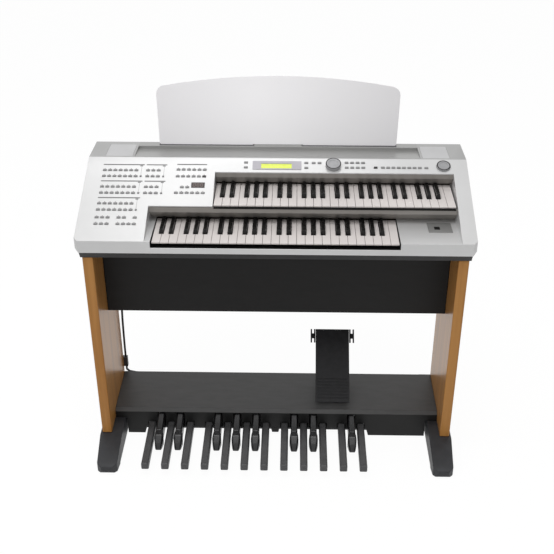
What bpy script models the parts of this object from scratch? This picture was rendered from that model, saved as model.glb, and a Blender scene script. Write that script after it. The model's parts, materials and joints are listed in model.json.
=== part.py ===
# Electronic organ with two manuals, a short pedalboard and a wooden stand.
# Lengths are in metres. X runs to the player's right, Y away from the player, Z up from the floor.
# Y is counted from the front ends of the lower manual's keys, and the empty named organ carries
# everything so that the middle of the footprint is the origin.

import math

import bmesh
import bpy
from mathutils import Matrix, Vector

# Manuals
OCTAVE = 0.165
KEY_PITCH = OCTAVE / 7
OCTAVES = 4
KEY_GAP = 0.001
KEY_TOP = 0.745
KEY_DIP_AXIS = 0.200
NATURAL_DEPTH = 0.010
NATURAL_LIP = 0.004
LIP_REACH = 0.012
NOTCH_START = 0.0485
SHARP_GAP = 0.0145
SHARP_WIDTH = 0.0115
SHARP_TOP_WIDTH = 0.0096
SHARP_FRONT = 0.050
SHARP_REAR = 0.133
SHARP_HEIGHT = 0.011
STEM_DEPTH = 0.017
WEB_DEPTH = 0.008
UPPER_RISE = 0.058
UPPER_SETBACK = 0.114
UPPER_SHIFT = OCTAVE

# Console
CONSOLE_WIDTH = 1.107
FRONT_REACH = 0.014
FRONT_RISE = 0.010
FRONT_DROP = 0.028
PANEL_SLOPE = math.radians(20.6)
PANEL_BACK = 0.290
DECK_BACK = 0.417
DECK_FALL = 0.006
WALL = 0.003
CORNER_CHAMFER = 0.010
RAIL_TOP = -0.011
RAIL_WALL = 0.006
RECESS_LEFT = -0.360
RECESS_RIGHT = 0.511
STEP_BACK = 0.110
UPPER_RECESS_BACK = 0.236
KEY_SIDE_GAP = 0.002
SHELF_FRONT_RISE = 0.009
SHELF_BACK_RISE = 0.003
FALLBOARD_WALL = 0.0025
FALLBOARD_FOOT = 0.144
LIP_DROP = 0.022
CHASSIS_DROP = 0.050
CHASSIS_FLOOR = 0.004
REAR_MARGIN = 0.024
REAR_FLANGE = 0.020
INLET_PLACE = (-0.430, 0.050)
INLET_SIZE = (0.027, 0.020)
INLET_DEPTH = 0.003
CLEARANCE = 0.0003

# Panel controls, placed by X and by the distance up the slope from the front crease
BUTTON_PITCH = 0.0153
BUTTON_WIDTH = 0.0105
BUTTON_DEPTH = 0.0065
SMALL_BUTTON = 0.0052
BUTTON_HEIGHT = 0.002
STRIP_DROP = 0.0055
STRIP_WALL = 0.0015
STRIP_MARGIN = 0.004
STRIP_STEP = 0.160
VOICE_LEFT = -0.500
VOICE_SECOND = -0.374
VOICE_SMALL = -0.3935
VOICE_ROWS = (0.271, 0.247, 0.205, 0.181, 0.140, 0.116, 0.087, 0.063)
RHYTHM_LEFT = -0.286
RHYTHM_ROWS = (0.275, 0.248, 0.205, 0.183)
MENU_LEFT = -0.0905
MENU_RIGHT = 0.0855
MENU_OUTER = 0.107
MENU_PITCH = 0.017
MENU_ROWS = (0.306, 0.286)
PAGE_LEFT = 0.203
PAGE_PITCH = 0.016
PAGE_LIFT = 0.002
MEMORY_FIRST = 0.287
MEMORY_LEFT = 0.308
MEMORY_LAST = 0.434
MEMORY_ROW = 0.289
DIAL_PLACE = (0.164, 0.295)
DIAL_RADIUS = 0.0225
DIAL_HEIGHT = 0.011
DIAL_LIFT = 0.0008
DIAL_SHAFT = 0.0045
KNOB_PLACE = (0.484, 0.296)
KNOB_RADIUS = 0.020
KNOB_HEIGHT = 0.005
RUNNING_GAP = 0.0005
BEZEL_PLACE = (0.0, 0.295)
BEZEL_SIZE = (0.142, 0.034)
BEZEL_STAND = 0.0015
GLASS_PLACE = (-0.0015, 0.2915)
GLASS_SIZE = (0.089, 0.019)
GLASS_LAP = 0.0006
METER_PLACE = (-0.225, 0.2135)
METER_SIZE = (0.038, 0.021)
METER_STAND = 0.0006

# Deck and music rest
TROUGH_HALF = 0.420
TROUGH_FRONT = 0.297
TROUGH_BACK = 0.384
TROUGH_DEPTH = 0.010
DECK_PLATE_INNER = 0.427
DECK_PLATE_OUTER = 0.506
DECK_PLATE_FRONT = 0.300
DECK_PLATE_BACK = 0.394
DECK_PLATE_WALL = 0.0012
REST_HALF = 0.358
REST_TOP_HALF = 0.365
REST_CORNER_HEIGHT = 0.172
REST_PEAK_HEIGHT = 0.206
REST_CORNER_RADIUS = 0.026
REST_WALL = 0.0035
REST_LEAN = math.radians(15)
REST_LINE = 0.399
REST_TONGUE = 0.014
HOLDER_INNER = 0.072
HOLDER_OUTER = 0.358
HOLDER_DEPTH = 0.018
HOLDER_TALL = 0.022
HOLDER_STAND = 0.001
SPEAKER_RADIUS = 0.038
BOARD_INSET = 0.1535
BOARD_SIZE = (0.180, 0.120)
BOARD_FRONT = 0.260

# Right-hand shelf
SLOT_PLATE_X = (0.428, 0.495)
SLOT_PLATE_Y = (0.058, 0.121)
SLOT_PLATE_WALL = 0.002
SLOT_OPENING = (0.014, 0.007)
SLOT_PLACE = (0.453, 0.085)

# Stand
PANEL_THICKNESS = 0.030
PANEL_OUTER = 0.538
PANEL_DEPTH = 0.280
FOOT_OUTER_LEDGE = 0.006
FOOT_INNER_LEDGE = 0.032
FOOT_TIP_CHAMFER = 0.014
FOOT_PAD_LENGTH = 0.040
FOOT_FRONT = 0.115
FOOT_REAR = 0.400
FOOT_HEIGHT = 0.066
FOOT_TIP_HEIGHT = 0.033
FOOT_PAD = 0.005
KNEEBOARD_FRONT = 0.122
KNEEBOARD_WALL = 0.015
KNEEBOARD_BOTTOM = 0.440

# Pedalboard
PEDAL_PITCH = 0.060
PEDAL_MARGIN = 0.080
PEDAL_END_ROOM = 0.190
PEDAL_WIDTH = 0.023
PEDAL_TOP = 0.050
PEDAL_BOTTOM = 0.027
PEDAL_TIP = 0.121
PEDAL_AXIS_Y = 0.238
PEDAL_AXIS_Z = 0.046
PEDAL_REAR = 0.010
PEDAL_ARM_TOP = 0.054
PEDAL_ARM_BOTTOM = 0.036
SHARP_PEDAL_TIP = 0.036
SHARP_PEDAL_TOP = 0.085
SHARP_PEDAL_WIDTH = 0.021
SHARP_CAP_WIDTH = 0.028
SHARP_CAP_BACK = 0.008
PEDAL_ROD = 0.004
PEDAL_SLOT_GAP = 0.0022
BOX_FRONT = 0.075
BOX_BACK = 0.275
BOX_TOP = 0.100
BOX_WALL = 0.008
BOX_BEVEL = 0.010
BOX_FLOOR_GAP = 0.005
BOX_END_GAP = 0.004
BOX_SKIRT = 0.033
TAB_BOTTOM = 0.013
TAB_BOTTOM_HALF = 0.010
TAB_TOP_HALF = 0.0155

# Expression pedal
SWELL_X = 0.1785
SWELL_WIDTH = 0.107
SWELL_LENGTH = 0.238
SWELL_WALL = 0.006
SWELL_ANGLE = math.radians(41)
SWELL_AXIS_Y = 0.196
SWELL_AXIS_Z = 0.187
SWELL_PIN = 0.005
SWELL_RISE = 0.014
SWELL_BASE_FRONT = 0.070
SWELL_BASE_BACK = 0.054
SWELL_BASE_HALF = 0.045
SWELL_BASE_WALL = 0.005
SWELL_CHEEK = 0.006
SWELL_FLANGE = 0.022
SWELL_FLANGE_WALL = 0.005
SWELL_GROOVES = 7
GROOVE_PITCH = 0.010
SWITCH_WIDTH = 0.0155
SWITCH_LENGTH = 0.044
SWITCH_WALL = 0.006
SWITCH_GAP = 0.0009
SWITCH_PIVOT = 0.002

# Pedal cable
CABLE_RADIUS = 0.0035
CABLE_INSET = 0.0615
CABLE_BACK = 0.300
CABLE_BOX_INSET = 0.020
CABLE_BOX_HEIGHT = 0.055
GLAND_RADIUS = 0.007
GLAND_TALL = 0.006
CABLE_STEP = 0.018
CLIP_BOTTOM = 0.116
CLIP_TALL = 0.036
CLIP_WALL = 0.0025
CLIP_EAR = 0.008
CLIP_INSET = 0.006

# Places that follow from the sizes above
PAST = 0.1
MANUAL_HALF = (OCTAVES * OCTAVE + KEY_PITCH) / 2
CONSOLE_HALF = CONSOLE_WIDTH / 2
PANEL_RISE = math.tan(PANEL_SLOPE)
CREASE = (-FRONT_REACH, KEY_TOP + FRONT_RISE)
DECK_FRONT_Z = CREASE[1] + (PANEL_BACK + FRONT_REACH) * PANEL_RISE
DECK_BACK_Z = DECK_FRONT_Z - DECK_FALL
SHELL_BOTTOM = KEY_TOP - FRONT_DROP
CHASSIS_BOTTOM = KEY_TOP - CHASSIS_DROP
CHASSIS_FLOOR_TOP = CHASSIS_BOTTOM + CHASSIS_FLOOR
CUT_BOTTOM = SHELL_BOTTOM - PAST
CUT_TOP = DECK_FRONT_Z + PAST
UPPER_LEFT = UPPER_SHIFT - MANUAL_HALF
UPPER_TOP = KEY_TOP + UPPER_RISE
REST_TIP_Y = REST_LINE + REST_PEAK_HEIGHT * math.sin(REST_LEAN) + REST_WALL / 2 * math.cos(REST_LEAN)
FOOT_OUTER = PANEL_OUTER + FOOT_OUTER_LEDGE
FOOT_INNER = PANEL_OUTER - PANEL_THICKNESS - FOOT_INNER_LEDGE
BOX_HALF = FOOT_INNER - BOX_END_GAP
PEDAL_FIRST = PEDAL_MARGIN - BOX_HALF
PEDAL_NATURALS = 1 + int((2 * BOX_HALF - PEDAL_MARGIN - PEDAL_END_ROOM) / PEDAL_PITCH)
CABLE_START = (CABLE_INSET - CONSOLE_HALF, CABLE_BACK)
CABLE_END = (CABLE_BOX_INSET - BOX_HALF, CABLE_BOX_HEIGHT)
CLIP_PLACE = (CLIP_INSET - PANEL_OUTER + PANEL_THICKNESS, PANEL_DEPTH + 0.001 + CLIP_WALL + CABLE_RADIUS)
FRONT_END = -max(FOOT_FRONT, PEDAL_TIP)
BACK_END = max(REST_TIP_Y, DECK_BACK, FOOT_REAR)
SHARP_OFFSETS = {1: -0.002, 2: 0.002, 4: -0.003, 5: 0.0, 6: 0.003}

COLOURS = {
    "silver": ((0.74, 0.74, 0.74), 0.38, 0.35),
    "deck_silver": ((0.52, 0.52, 0.53), 0.42, 0.3),
    "key_white": ((0.86, 0.84, 0.81), 0.25, 0.0),
    "key_black": ((0.012, 0.012, 0.013), 0.3, 0.0),
    "fallboard": ((0.15, 0.14, 0.13), 0.2, 0.4),
    "dark_plastic": ((0.03, 0.03, 0.032), 0.45, 0.0),
    "chassis": ((0.05, 0.05, 0.052), 0.5, 0.0),
    "frame_black": ((0.015, 0.015, 0.016), 0.6, 0.0),
    "knee_dark": ((0.018, 0.018, 0.019), 0.55, 0.0),
    "meter_dark": ((0.02, 0.02, 0.022), 0.2, 0.0),
    "speaker_black": ((0.02, 0.02, 0.02), 0.7, 0.0),
    "dial_grey": ((0.33, 0.33, 0.34), 0.4, 0.1),
    "swell_grey": ((0.028, 0.028, 0.03), 0.5, 0.0),
    "button_grey": ((0.27, 0.27, 0.28), 0.5, 0.0),
    "bezel": ((0.45, 0.44, 0.52), 0.3, 0.0),
    "screen": ((0.62, 0.75, 0.12), 0.2, 0.0),
    "translucent": ((0.86, 0.87, 0.88), 0.3, 0.0),
    "wood": ((0.42, 0.22, 0.08), 0.45, 0.0),
    "foot_grey": ((0.055, 0.055, 0.057), 0.5, 0.0),
    "pedal_grey": ((0.085, 0.085, 0.087), 0.45, 0.0),
    "pedal_black": ((0.02, 0.02, 0.021), 0.3, 0.0),
    "box_grey": ((0.07, 0.07, 0.072), 0.5, 0.0),
    "steel": ((0.4, 0.4, 0.4), 0.35, 0.9),
    "board_green": ((0.03, 0.12, 0.05), 0.5, 0.0),
    "cable_black": ((0.01, 0.01, 0.01), 0.45, 0.0),
}


def clear_scene():
    for old in list(bpy.data.objects):
        bpy.data.objects.remove(old)


def finish(slot):
    """The slot's material, made once."""
    material = bpy.data.materials.get(slot)
    if material is None:
        colour, roughness, metallic = COLOURS[slot]
        material = bpy.data.materials.new(slot)
        material.use_nodes = True
        shader = material.node_tree.nodes["Principled BSDF"]
        shader.inputs["Base Color"].default_value = (*colour, 1)
        shader.inputs["Roughness"].default_value = roughness
        shader.inputs["Metallic"].default_value = metallic
    return material


def carry(item, origin=(0, 0, 0), tilt=0.0):
    """Hangs an object on the organ's empty, at its own origin, turned about X."""
    item.parent = ORGAN
    item.location = origin
    item.rotation_euler = (tilt, 0, 0)
    return item


def solid(name, shape, slot, origin=(0, 0, 0), tilt=0.0, smooth=None):
    """An object from a bmesh whose points are counted from its origin."""
    bmesh.ops.recalc_face_normals(shape, faces=shape.faces)
    mesh = bpy.data.meshes.new(name)
    shape.to_mesh(mesh)
    shape.free()
    item = bpy.data.objects.new(name, mesh)
    bpy.context.scene.collection.objects.link(item)
    if slot:
        mesh.materials.append(finish(slot))
    if smooth is not None:
        mesh.shade_smooth()
        mesh.set_sharp_from_angle(angle=smooth)
    return carry(item, origin, tilt)


def guide(name, shape, origin=(0, 0, 0), tilt=0.0):
    """A cutting shape, which is no piece of the organ."""
    item = solid(name, shape, None, origin, tilt)
    item.hide_render = True
    item.display_type = "WIRE"
    return item


def combine(item, tool, operation):
    """Adds a Boolean with the tool to the item's modifiers."""
    step = item.modifiers.new(tool.name, "BOOLEAN")
    step.operation = operation
    step.object = tool
    step.solver = "EXACT"


def add_extrusion(shape, outline, axis, low, high):
    """Adds a prism: a 2D outline drawn out along X, Y or Z."""
    def corner(a, b, along):
        if axis == "X":
            return (along, a, b)
        if axis == "Y":
            return (a, along, b)
        return (a, b, along)

    first = [shape.verts.new(corner(a, b, low)) for a, b in outline]
    second = [shape.verts.new(corner(a, b, high)) for a, b in outline]
    shape.faces.new(first)
    shape.faces.new(list(reversed(second)))
    for here in range(len(outline)):
        there = (here + 1) % len(outline)
        shape.faces.new((first[here], second[here], second[there], first[there]))


def extrusion(outline, axis, low, high):
    shape = bmesh.new()
    add_extrusion(shape, outline, axis, low, high)
    return shape


def add_block(shape, xs, ys, zs):
    """Adds a box from its ranges along X, Y and Z."""
    outline = [(xs[0], ys[0]), (xs[1], ys[0]), (xs[1], ys[1]), (xs[0], ys[1])]
    add_extrusion(shape, outline, "Z", zs[0], zs[1])


def block(xs, ys, zs):
    shape = bmesh.new()
    add_block(shape, xs, ys, zs)
    return shape


def blocks(ranges):
    shape = bmesh.new()
    for xs, ys, zs in ranges:
        add_block(shape, xs, ys, zs)
    return shape


def disc(radius, low, high, centre=(0, 0), sides=32):
    """A drum on the Z axis."""
    outline = []
    for step in range(sides):
        turn = 2 * math.pi * (step + 0.5) / sides
        outline.append((centre[0] + radius * math.cos(turn), centre[1] + radius * math.sin(turn)))
    return extrusion(outline, "Z", low, high)


def rod_along_x(radius, low, high, centre=(0, 0), sides=16):
    outline = []
    for step in range(sides):
        turn = 2 * math.pi * (step + 0.5) / sides
        outline.append((centre[0] + radius * math.cos(turn), centre[1] + radius * math.sin(turn)))
    return extrusion(outline, "X", low, high)


def turned(profile, sides=32):
    """A body turned about Z from (radius, height) points that start and end on the axis."""
    shape = bmesh.new()
    rings = []
    for radius, height in profile:
        if radius == 0:
            rings.append([shape.verts.new((0, 0, height))])
            continue
        ring = []
        for step in range(sides):
            turn = 2 * math.pi * step / sides
            ring.append(shape.verts.new((radius * math.cos(turn), radius * math.sin(turn), height)))
        rings.append(ring)
    for below, above in zip(rings, rings[1:]):
        for here in range(sides):
            there = (here + 1) % sides
            corners = [below[here % len(below)], below[there % len(below)]]
            corners += [above[there % len(above)], above[here % len(above)]]
            shape.faces.new(list(dict.fromkeys(corners)))
    return shape


def shrunk(outline, distance):
    """A polygon drawn in by a distance on every side; its points run anticlockwise."""
    count = len(outline)
    lines = []
    for here in range(count):
        start = Vector(outline[here])
        run = (Vector(outline[(here + 1) % count]) - start).normalized()
        inward = Vector((-run.y, run.x))
        lines.append((start + inward * distance, run))
    moved = []
    for here in range(count):
        point, run = lines[here - 1]
        other, other_run = lines[here]
        across = run.x * other_run.y - run.y * other_run.x
        reach = ((other.x - point.x) * other_run.y - (other.y - point.y) * other_run.x) / across
        moved.append(tuple(point + run * reach))
    return moved


def panel_z(y):
    """Height of the sloped panel's face above the floor."""
    return CREASE[1] + (y + FRONT_REACH) * PANEL_RISE


def deck_z(y):
    """Height of the deck's face above the floor."""
    return DECK_FRONT_Z - (y - PANEL_BACK) / (DECK_BACK - PANEL_BACK) * DECK_FALL


def shelf_z(y):
    """Height of the shelf beside the lower manual."""
    share = (y + FRONT_REACH) / (FALLBOARD_FOOT + FRONT_REACH)
    return KEY_TOP + SHELF_FRONT_RISE + share * (SHELF_BACK_RISE - SHELF_FRONT_RISE)


def natural_tail(index):
    """Left and right edges of a natural's narrow part, counted from the manual's left end."""
    place = index % 7
    left = index * KEY_PITCH + KEY_GAP / 2
    right = (index + 1) * KEY_PITCH - KEY_GAP / 2
    last = index == 7 * OCTAVES
    if place in SHARP_OFFSETS:
        left = index * KEY_PITCH + SHARP_OFFSETS[place] + SHARP_GAP / 2
    if place + 1 in SHARP_OFFSETS and not last:
        right = (index + 1) * KEY_PITCH + SHARP_OFFSETS[place + 1] - SHARP_GAP / 2
    return left, right


def natural_outline(front):
    """Plan of all naturals, joined at the back; front is where the fronts lie."""
    web_front = KEY_DIP_AXIS - WEB_DEPTH / 2
    web_back = KEY_DIP_AXIS + WEB_DEPTH / 2
    points = [(KEY_GAP / 2, web_back)]
    for index in range(7 * OCTAVES + 1):
        full_left = index * KEY_PITCH + KEY_GAP / 2
        full_right = (index + 1) * KEY_PITCH - KEY_GAP / 2
        left, right = natural_tail(index)
        if left > full_left:
            points += [(left, web_front), (left, NOTCH_START), (full_left, NOTCH_START)]
        elif index:
            points.append((full_left, web_front))
        points += [(full_left, front), (full_right, front)]
        if right < full_right:
            points += [(full_right, NOTCH_START), (right, NOTCH_START), (right, web_front)]
        elif index < 7 * OCTAVES:
            points.append((full_right, web_front))
    points.append(((7 * OCTAVES + 1) * KEY_PITCH - KEY_GAP / 2, web_back))
    return points


def sharp_centres():
    """X of each sharp, counted from the manual's left end."""
    centres = []
    for octave in range(OCTAVES):
        for place, offset in SHARP_OFFSETS.items():
            centres.append((octave * 7 + place) * KEY_PITCH + offset)
    return centres


def make_naturals(name, left, front, top):
    """The naturals of one manual: one moulding whose keys share a web at their pivot."""
    origin = (left, front + KEY_DIP_AXIS, top - NATURAL_DEPTH)
    upper = natural_outline(0.0)
    lower = natural_outline(LIP_REACH)
    shape = bmesh.new()
    layers = []
    for outline, height in ((upper, 0.0), (upper, -NATURAL_LIP), (lower, -NATURAL_DEPTH)):
        layer = [shape.verts.new((x, y - KEY_DIP_AXIS, height + NATURAL_DEPTH)) for x, y in outline]
        layers.append(layer)
    shape.faces.new(layers[0])
    shape.faces.new(list(reversed(layers[-1])))
    count = len(upper)
    for above, below in zip(layers, layers[1:]):
        for here in range(count):
            there = (here + 1) % count
            shape.faces.new((above[here], below[here], below[there], above[there]))
    return solid(name, shape, "key_white", origin)


def make_sharps(name, left, front, top):
    """The sharps of one manual: tapered caps on stems that run back to a common web."""
    origin = (left, front + KEY_DIP_AXIS, top - NATURAL_DEPTH)
    web_front = KEY_DIP_AXIS + WEB_DEPTH
    web_back = web_front + WEB_DEPTH
    stem_top = -NATURAL_DEPTH - CLEARANCE
    profile = [
        (SHARP_FRONT, -0.008),
        (SHARP_FRONT + 0.0015, 0.004),
        (SHARP_FRONT + 0.006, SHARP_HEIGHT),
        (SHARP_REAR, SHARP_HEIGHT),
        (SHARP_REAR + 0.010, -0.001),
        (SHARP_REAR + 0.020, stem_top),
        (web_front + 0.002, stem_top),
        (web_front + 0.002, -STEM_DEPTH),
        (SHARP_FRONT + 0.010, -STEM_DEPTH),
    ]
    keys = bmesh.new()
    for centre in sharp_centres():
        outline = [(y - KEY_DIP_AXIS, z + NATURAL_DEPTH) for y, z in profile]
        add_extrusion(keys, outline, "X", centre - SHARP_WIDTH / 2, centre + SHARP_WIDTH / 2)
    for corner in keys.verts:
        if corner.co.z > NATURAL_DEPTH + SHARP_HEIGHT - 0.0001:
            middle = min(sharp_centres(), key=lambda centre: abs(centre - corner.co.x))
            corner.co.x = middle + (corner.co.x - middle) * SHARP_TOP_WIDTH / SHARP_WIDTH
    caps = guide(name + "_caps", keys, origin)
    ends = (sharp_centres()[0] - SHARP_WIDTH / 2 - 0.002, sharp_centres()[-1] + SHARP_WIDTH / 2 + 0.002)
    ys = (web_front - KEY_DIP_AXIS, web_back - KEY_DIP_AXIS)
    zs = (NATURAL_DEPTH - STEM_DEPTH - 0.001, -CLEARANCE - 0.001)
    web = solid(name, block(ends, ys, zs), "key_black", origin)
    combine(web, caps, "UNION")
    return web


def make_key_frame(name, left, front, top, leg_bottom):
    """The black frame under a manual: floor, felted rails, guide posts at the pivot and legs."""
    right = left + 2 * MANUAL_HALF
    floor = (top - 0.036, top - 0.033)
    rail_top = top - STEM_DEPTH - CLEARANCE
    axis = front + KEY_DIP_AXIS
    base = block((left, right), (front + 0.019, axis + 0.026), floor)
    item = solid(name, base, "frame_black")
    ranges = [
        ((left, right), (front + 0.019, front + 0.025), (floor[0] + 0.001, top - 0.023)),
        ((left, right), (axis - 0.002, axis + 0.002), (floor[0] + 0.001, rail_top)),
        ((left, right), (axis + 0.022, axis + 0.026), (leg_bottom, floor[1] - 0.001)),
    ]
    rails = guide(name + "_rails", blocks(ranges))
    combine(item, rails, "UNION")
    posts = []
    for octave in range(OCTAVES + 1):
        for place in (0, 3):
            centre = left + (octave * 7 + place) * KEY_PITCH
            if octave == OCTAVES and place == 3:
                continue
            low = max(centre - 0.006, left)
            high = centre + 0.006
            ys = (axis - 0.0015, axis + 0.0015)
            posts.append(((low, high), ys, (rail_top - 0.001, top - NATURAL_DEPTH - CLEARANCE)))
    combine(item, guide(name + "_posts", blocks(posts)), "UNION")
    return item


def make_fallboard(name, xs, face_y, top_z, bend_z, foot_y, foot_z):
    """A folded board behind a manual's keys: upright at the top, then leaning away downwards."""
    down = Vector((foot_y - face_y, foot_z - bend_z)).normalized()
    back = Vector((-down.y, down.x)) * FALLBOARD_WALL
    knee = FALLBOARD_WALL * math.tan(math.atan2(foot_y - face_y, bend_z - foot_z) / 2)
    outline = [
        (face_y, top_z),
        (face_y, bend_z),
        (foot_y, foot_z),
        (foot_y + back.x, foot_z + back.y),
        (face_y + FALLBOARD_WALL, bend_z + knee),
        (face_y + FALLBOARD_WALL, top_z),
    ]
    return solid(name, extrusion(outline, "X", xs[0], xs[1]), "fallboard")


def row(first, count, slope, pitch=BUTTON_PITCH):
    """A row of like buttons as (x, slope distance, is small)."""
    return [(first + step * pitch, slope, False) for step in range(count)]


def button_places():
    """The places of each group's buttons."""
    small = VOICE_SMALL
    voices = []
    for number, slope in enumerate(VOICE_ROWS[:4]):
        voices += row(VOICE_LEFT, 7, slope) + row(VOICE_SECOND, 3, slope)
        if number % 2:
            voices += [(small, slope, True), (VOICE_SECOND + 3 * BUTTON_PITCH, slope, True)]
    voices += row(VOICE_LEFT, 7, VOICE_ROWS[4]) + row(VOICE_LEFT, 7, VOICE_ROWS[5])
    voices += [(small, VOICE_ROWS[5], True)]
    for count, slope in ((2, VOICE_ROWS[6]), (3, VOICE_ROWS[7])):
        voices += row(VOICE_LEFT, 3, slope) + row(VOICE_LEFT + 4 * BUTTON_PITCH, count, slope)
        voices += row(small, 1, slope)
    rhythm = row(RHYTHM_LEFT, 6, RHYTHM_ROWS[0]) + row(RHYTHM_LEFT, 6, RHYTHM_ROWS[1])
    rhythm += row(RHYTHM_LEFT + BUTTON_PITCH, 2, RHYTHM_ROWS[2]) + row(RHYTHM_LEFT, 6, RHYTHM_ROWS[3])
    menu = row(MENU_OUTER, 2, MENU_ROWS[0], MENU_PITCH)
    memory = row(MEMORY_FIRST, 1, MEMORY_ROW) + row(MEMORY_LEFT, 8, MEMORY_ROW)
    memory += row(MEMORY_LAST, 1, MEMORY_ROW)
    for slope in MENU_ROWS:
        menu += row(MENU_LEFT, 1, slope) + row(MENU_RIGHT, 1, slope)
        memory += row(PAGE_LEFT, 4, slope + PAGE_LIFT, PAGE_PITCH)
    return {
        "voice_buttons": voices,
        "rhythm_buttons": rhythm,
        "menu_buttons": menu,
        "registration_buttons": memory,
    }


def cap_ranges(places, grow, low, high):
    """Boxes for a group's caps, or for their holes when grown."""
    ranges = []
    for x, slope, small in places:
        half_width = (SMALL_BUTTON if small else BUTTON_WIDTH) / 2 + grow
        half_depth = (SMALL_BUTTON if small else BUTTON_DEPTH) / 2 + grow
        xs = (x - half_width, x + half_width)
        ranges.append((xs, (slope - half_depth, slope + half_depth), (low, high)))
    return ranges


def make_button_strip(name, places):
    """A moulded strip of caps that pass through the panel, pressed along the panel's normal."""
    xs = [place[0] for place in places]
    slopes = [place[1] for place in places]
    reach_x = BUTTON_WIDTH / 2 + STRIP_MARGIN
    reach_slope = BUTTON_DEPTH / 2 + STRIP_MARGIN
    left = min(xs) - reach_x
    right = max(xs) + reach_x
    bottom = min(slopes) - reach_slope
    top = max(slopes) + reach_slope
    low_xs = [place[0] for place in places if place[1] < STRIP_STEP]
    outline = [(left, bottom), (right, bottom), (right, top), (left, top)]
    if low_xs:
        low_right = max(low_xs) + reach_x
        step = min(slope for slope in slopes if slope > STRIP_STEP) - reach_slope
        outline[1:2] = [(low_right, bottom), (low_right, step), (right, step)]
    web = extrusion(outline, "Z", -STRIP_DROP - STRIP_WALL, -STRIP_DROP)
    origin = (0, CREASE[0], CREASE[1])
    item = solid(name, web, "button_grey", origin, PANEL_SLOPE)
    caps = blocks(cap_ranges(places, 0, -STRIP_DROP - STRIP_WALL / 2, BUTTON_HEIGHT))
    combine(item, guide(name + "_caps", caps, origin, PANEL_SLOPE), "UNION")
    return item


def console_profile():
    """Side view of the console's outer skin, anticlockwise."""
    return [
        (-FRONT_REACH, SHELL_BOTTOM),
        (DECK_BACK, SHELL_BOTTOM),
        (DECK_BACK, DECK_BACK_Z),
        (PANEL_BACK, DECK_FRONT_Z),
        (-FRONT_REACH, CREASE[1]),
    ]


def console_front(inset):
    """Front view of the console's outer skin, anticlockwise, with chamfered lower corners."""
    outline = [
        (-CONSOLE_HALF + CORNER_CHAMFER, SHELL_BOTTOM),
        (CONSOLE_HALF - CORNER_CHAMFER, SHELL_BOTTOM),
        (CONSOLE_HALF, SHELL_BOTTOM + CORNER_CHAMFER),
        (CONSOLE_HALF, CUT_TOP),
        (-CONSOLE_HALF, CUT_TOP),
        (-CONSOLE_HALF, SHELL_BOTTOM + CORNER_CHAMFER),
    ]
    return shrunk(outline, inset)


def console_plan():
    """Plan of the console's outer skin, anticlockwise, with chamfered front corners."""
    return [
        (-CONSOLE_HALF + CORNER_CHAMFER, -FRONT_REACH),
        (CONSOLE_HALF - CORNER_CHAMFER, -FRONT_REACH),
        (CONSOLE_HALF, -FRONT_REACH + CORNER_CHAMFER),
        (CONSOLE_HALF, DECK_BACK),
        (-CONSOLE_HALF, DECK_BACK),
        (-CONSOLE_HALF, -FRONT_REACH + CORNER_CHAMFER),
    ]


def lower_recess():
    """The step above the lower manual and its shelf."""
    low_y = -FRONT_REACH - PAST
    outline = [
        (low_y, shelf_z(-FRONT_REACH)),
        (-FRONT_REACH, shelf_z(-FRONT_REACH)),
        (STEP_BACK, shelf_z(STEP_BACK)),
        (STEP_BACK, CUT_TOP),
        (low_y, CUT_TOP),
    ]
    return extrusion(outline, "X", RECESS_LEFT, RECESS_RIGHT)


def shelf_slab():
    """The shelf on both sides of the lower manual, one wall thick."""
    back = FALLBOARD_FOOT + 0.006
    outline = [
        (-FRONT_REACH, shelf_z(-FRONT_REACH) - WALL),
        (back, shelf_z(back) - WALL),
        (back, shelf_z(back)),
        (-FRONT_REACH, shelf_z(-FRONT_REACH)),
    ]
    return extrusion(outline, "X", RECESS_LEFT - WALL, RECESS_RIGHT + WALL)


def trough_outline(grow):
    """Side view of the shallow trough in the deck."""
    return [
        (TROUGH_FRONT - grow, deck_z(TROUGH_FRONT) - 0.0005 - grow),
        (TROUGH_BACK + grow, deck_z(TROUGH_BACK) - TROUGH_DEPTH - grow),
        (TROUGH_BACK + grow, CUT_TOP),
        (TROUGH_FRONT - grow, CUT_TOP),
    ]


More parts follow.
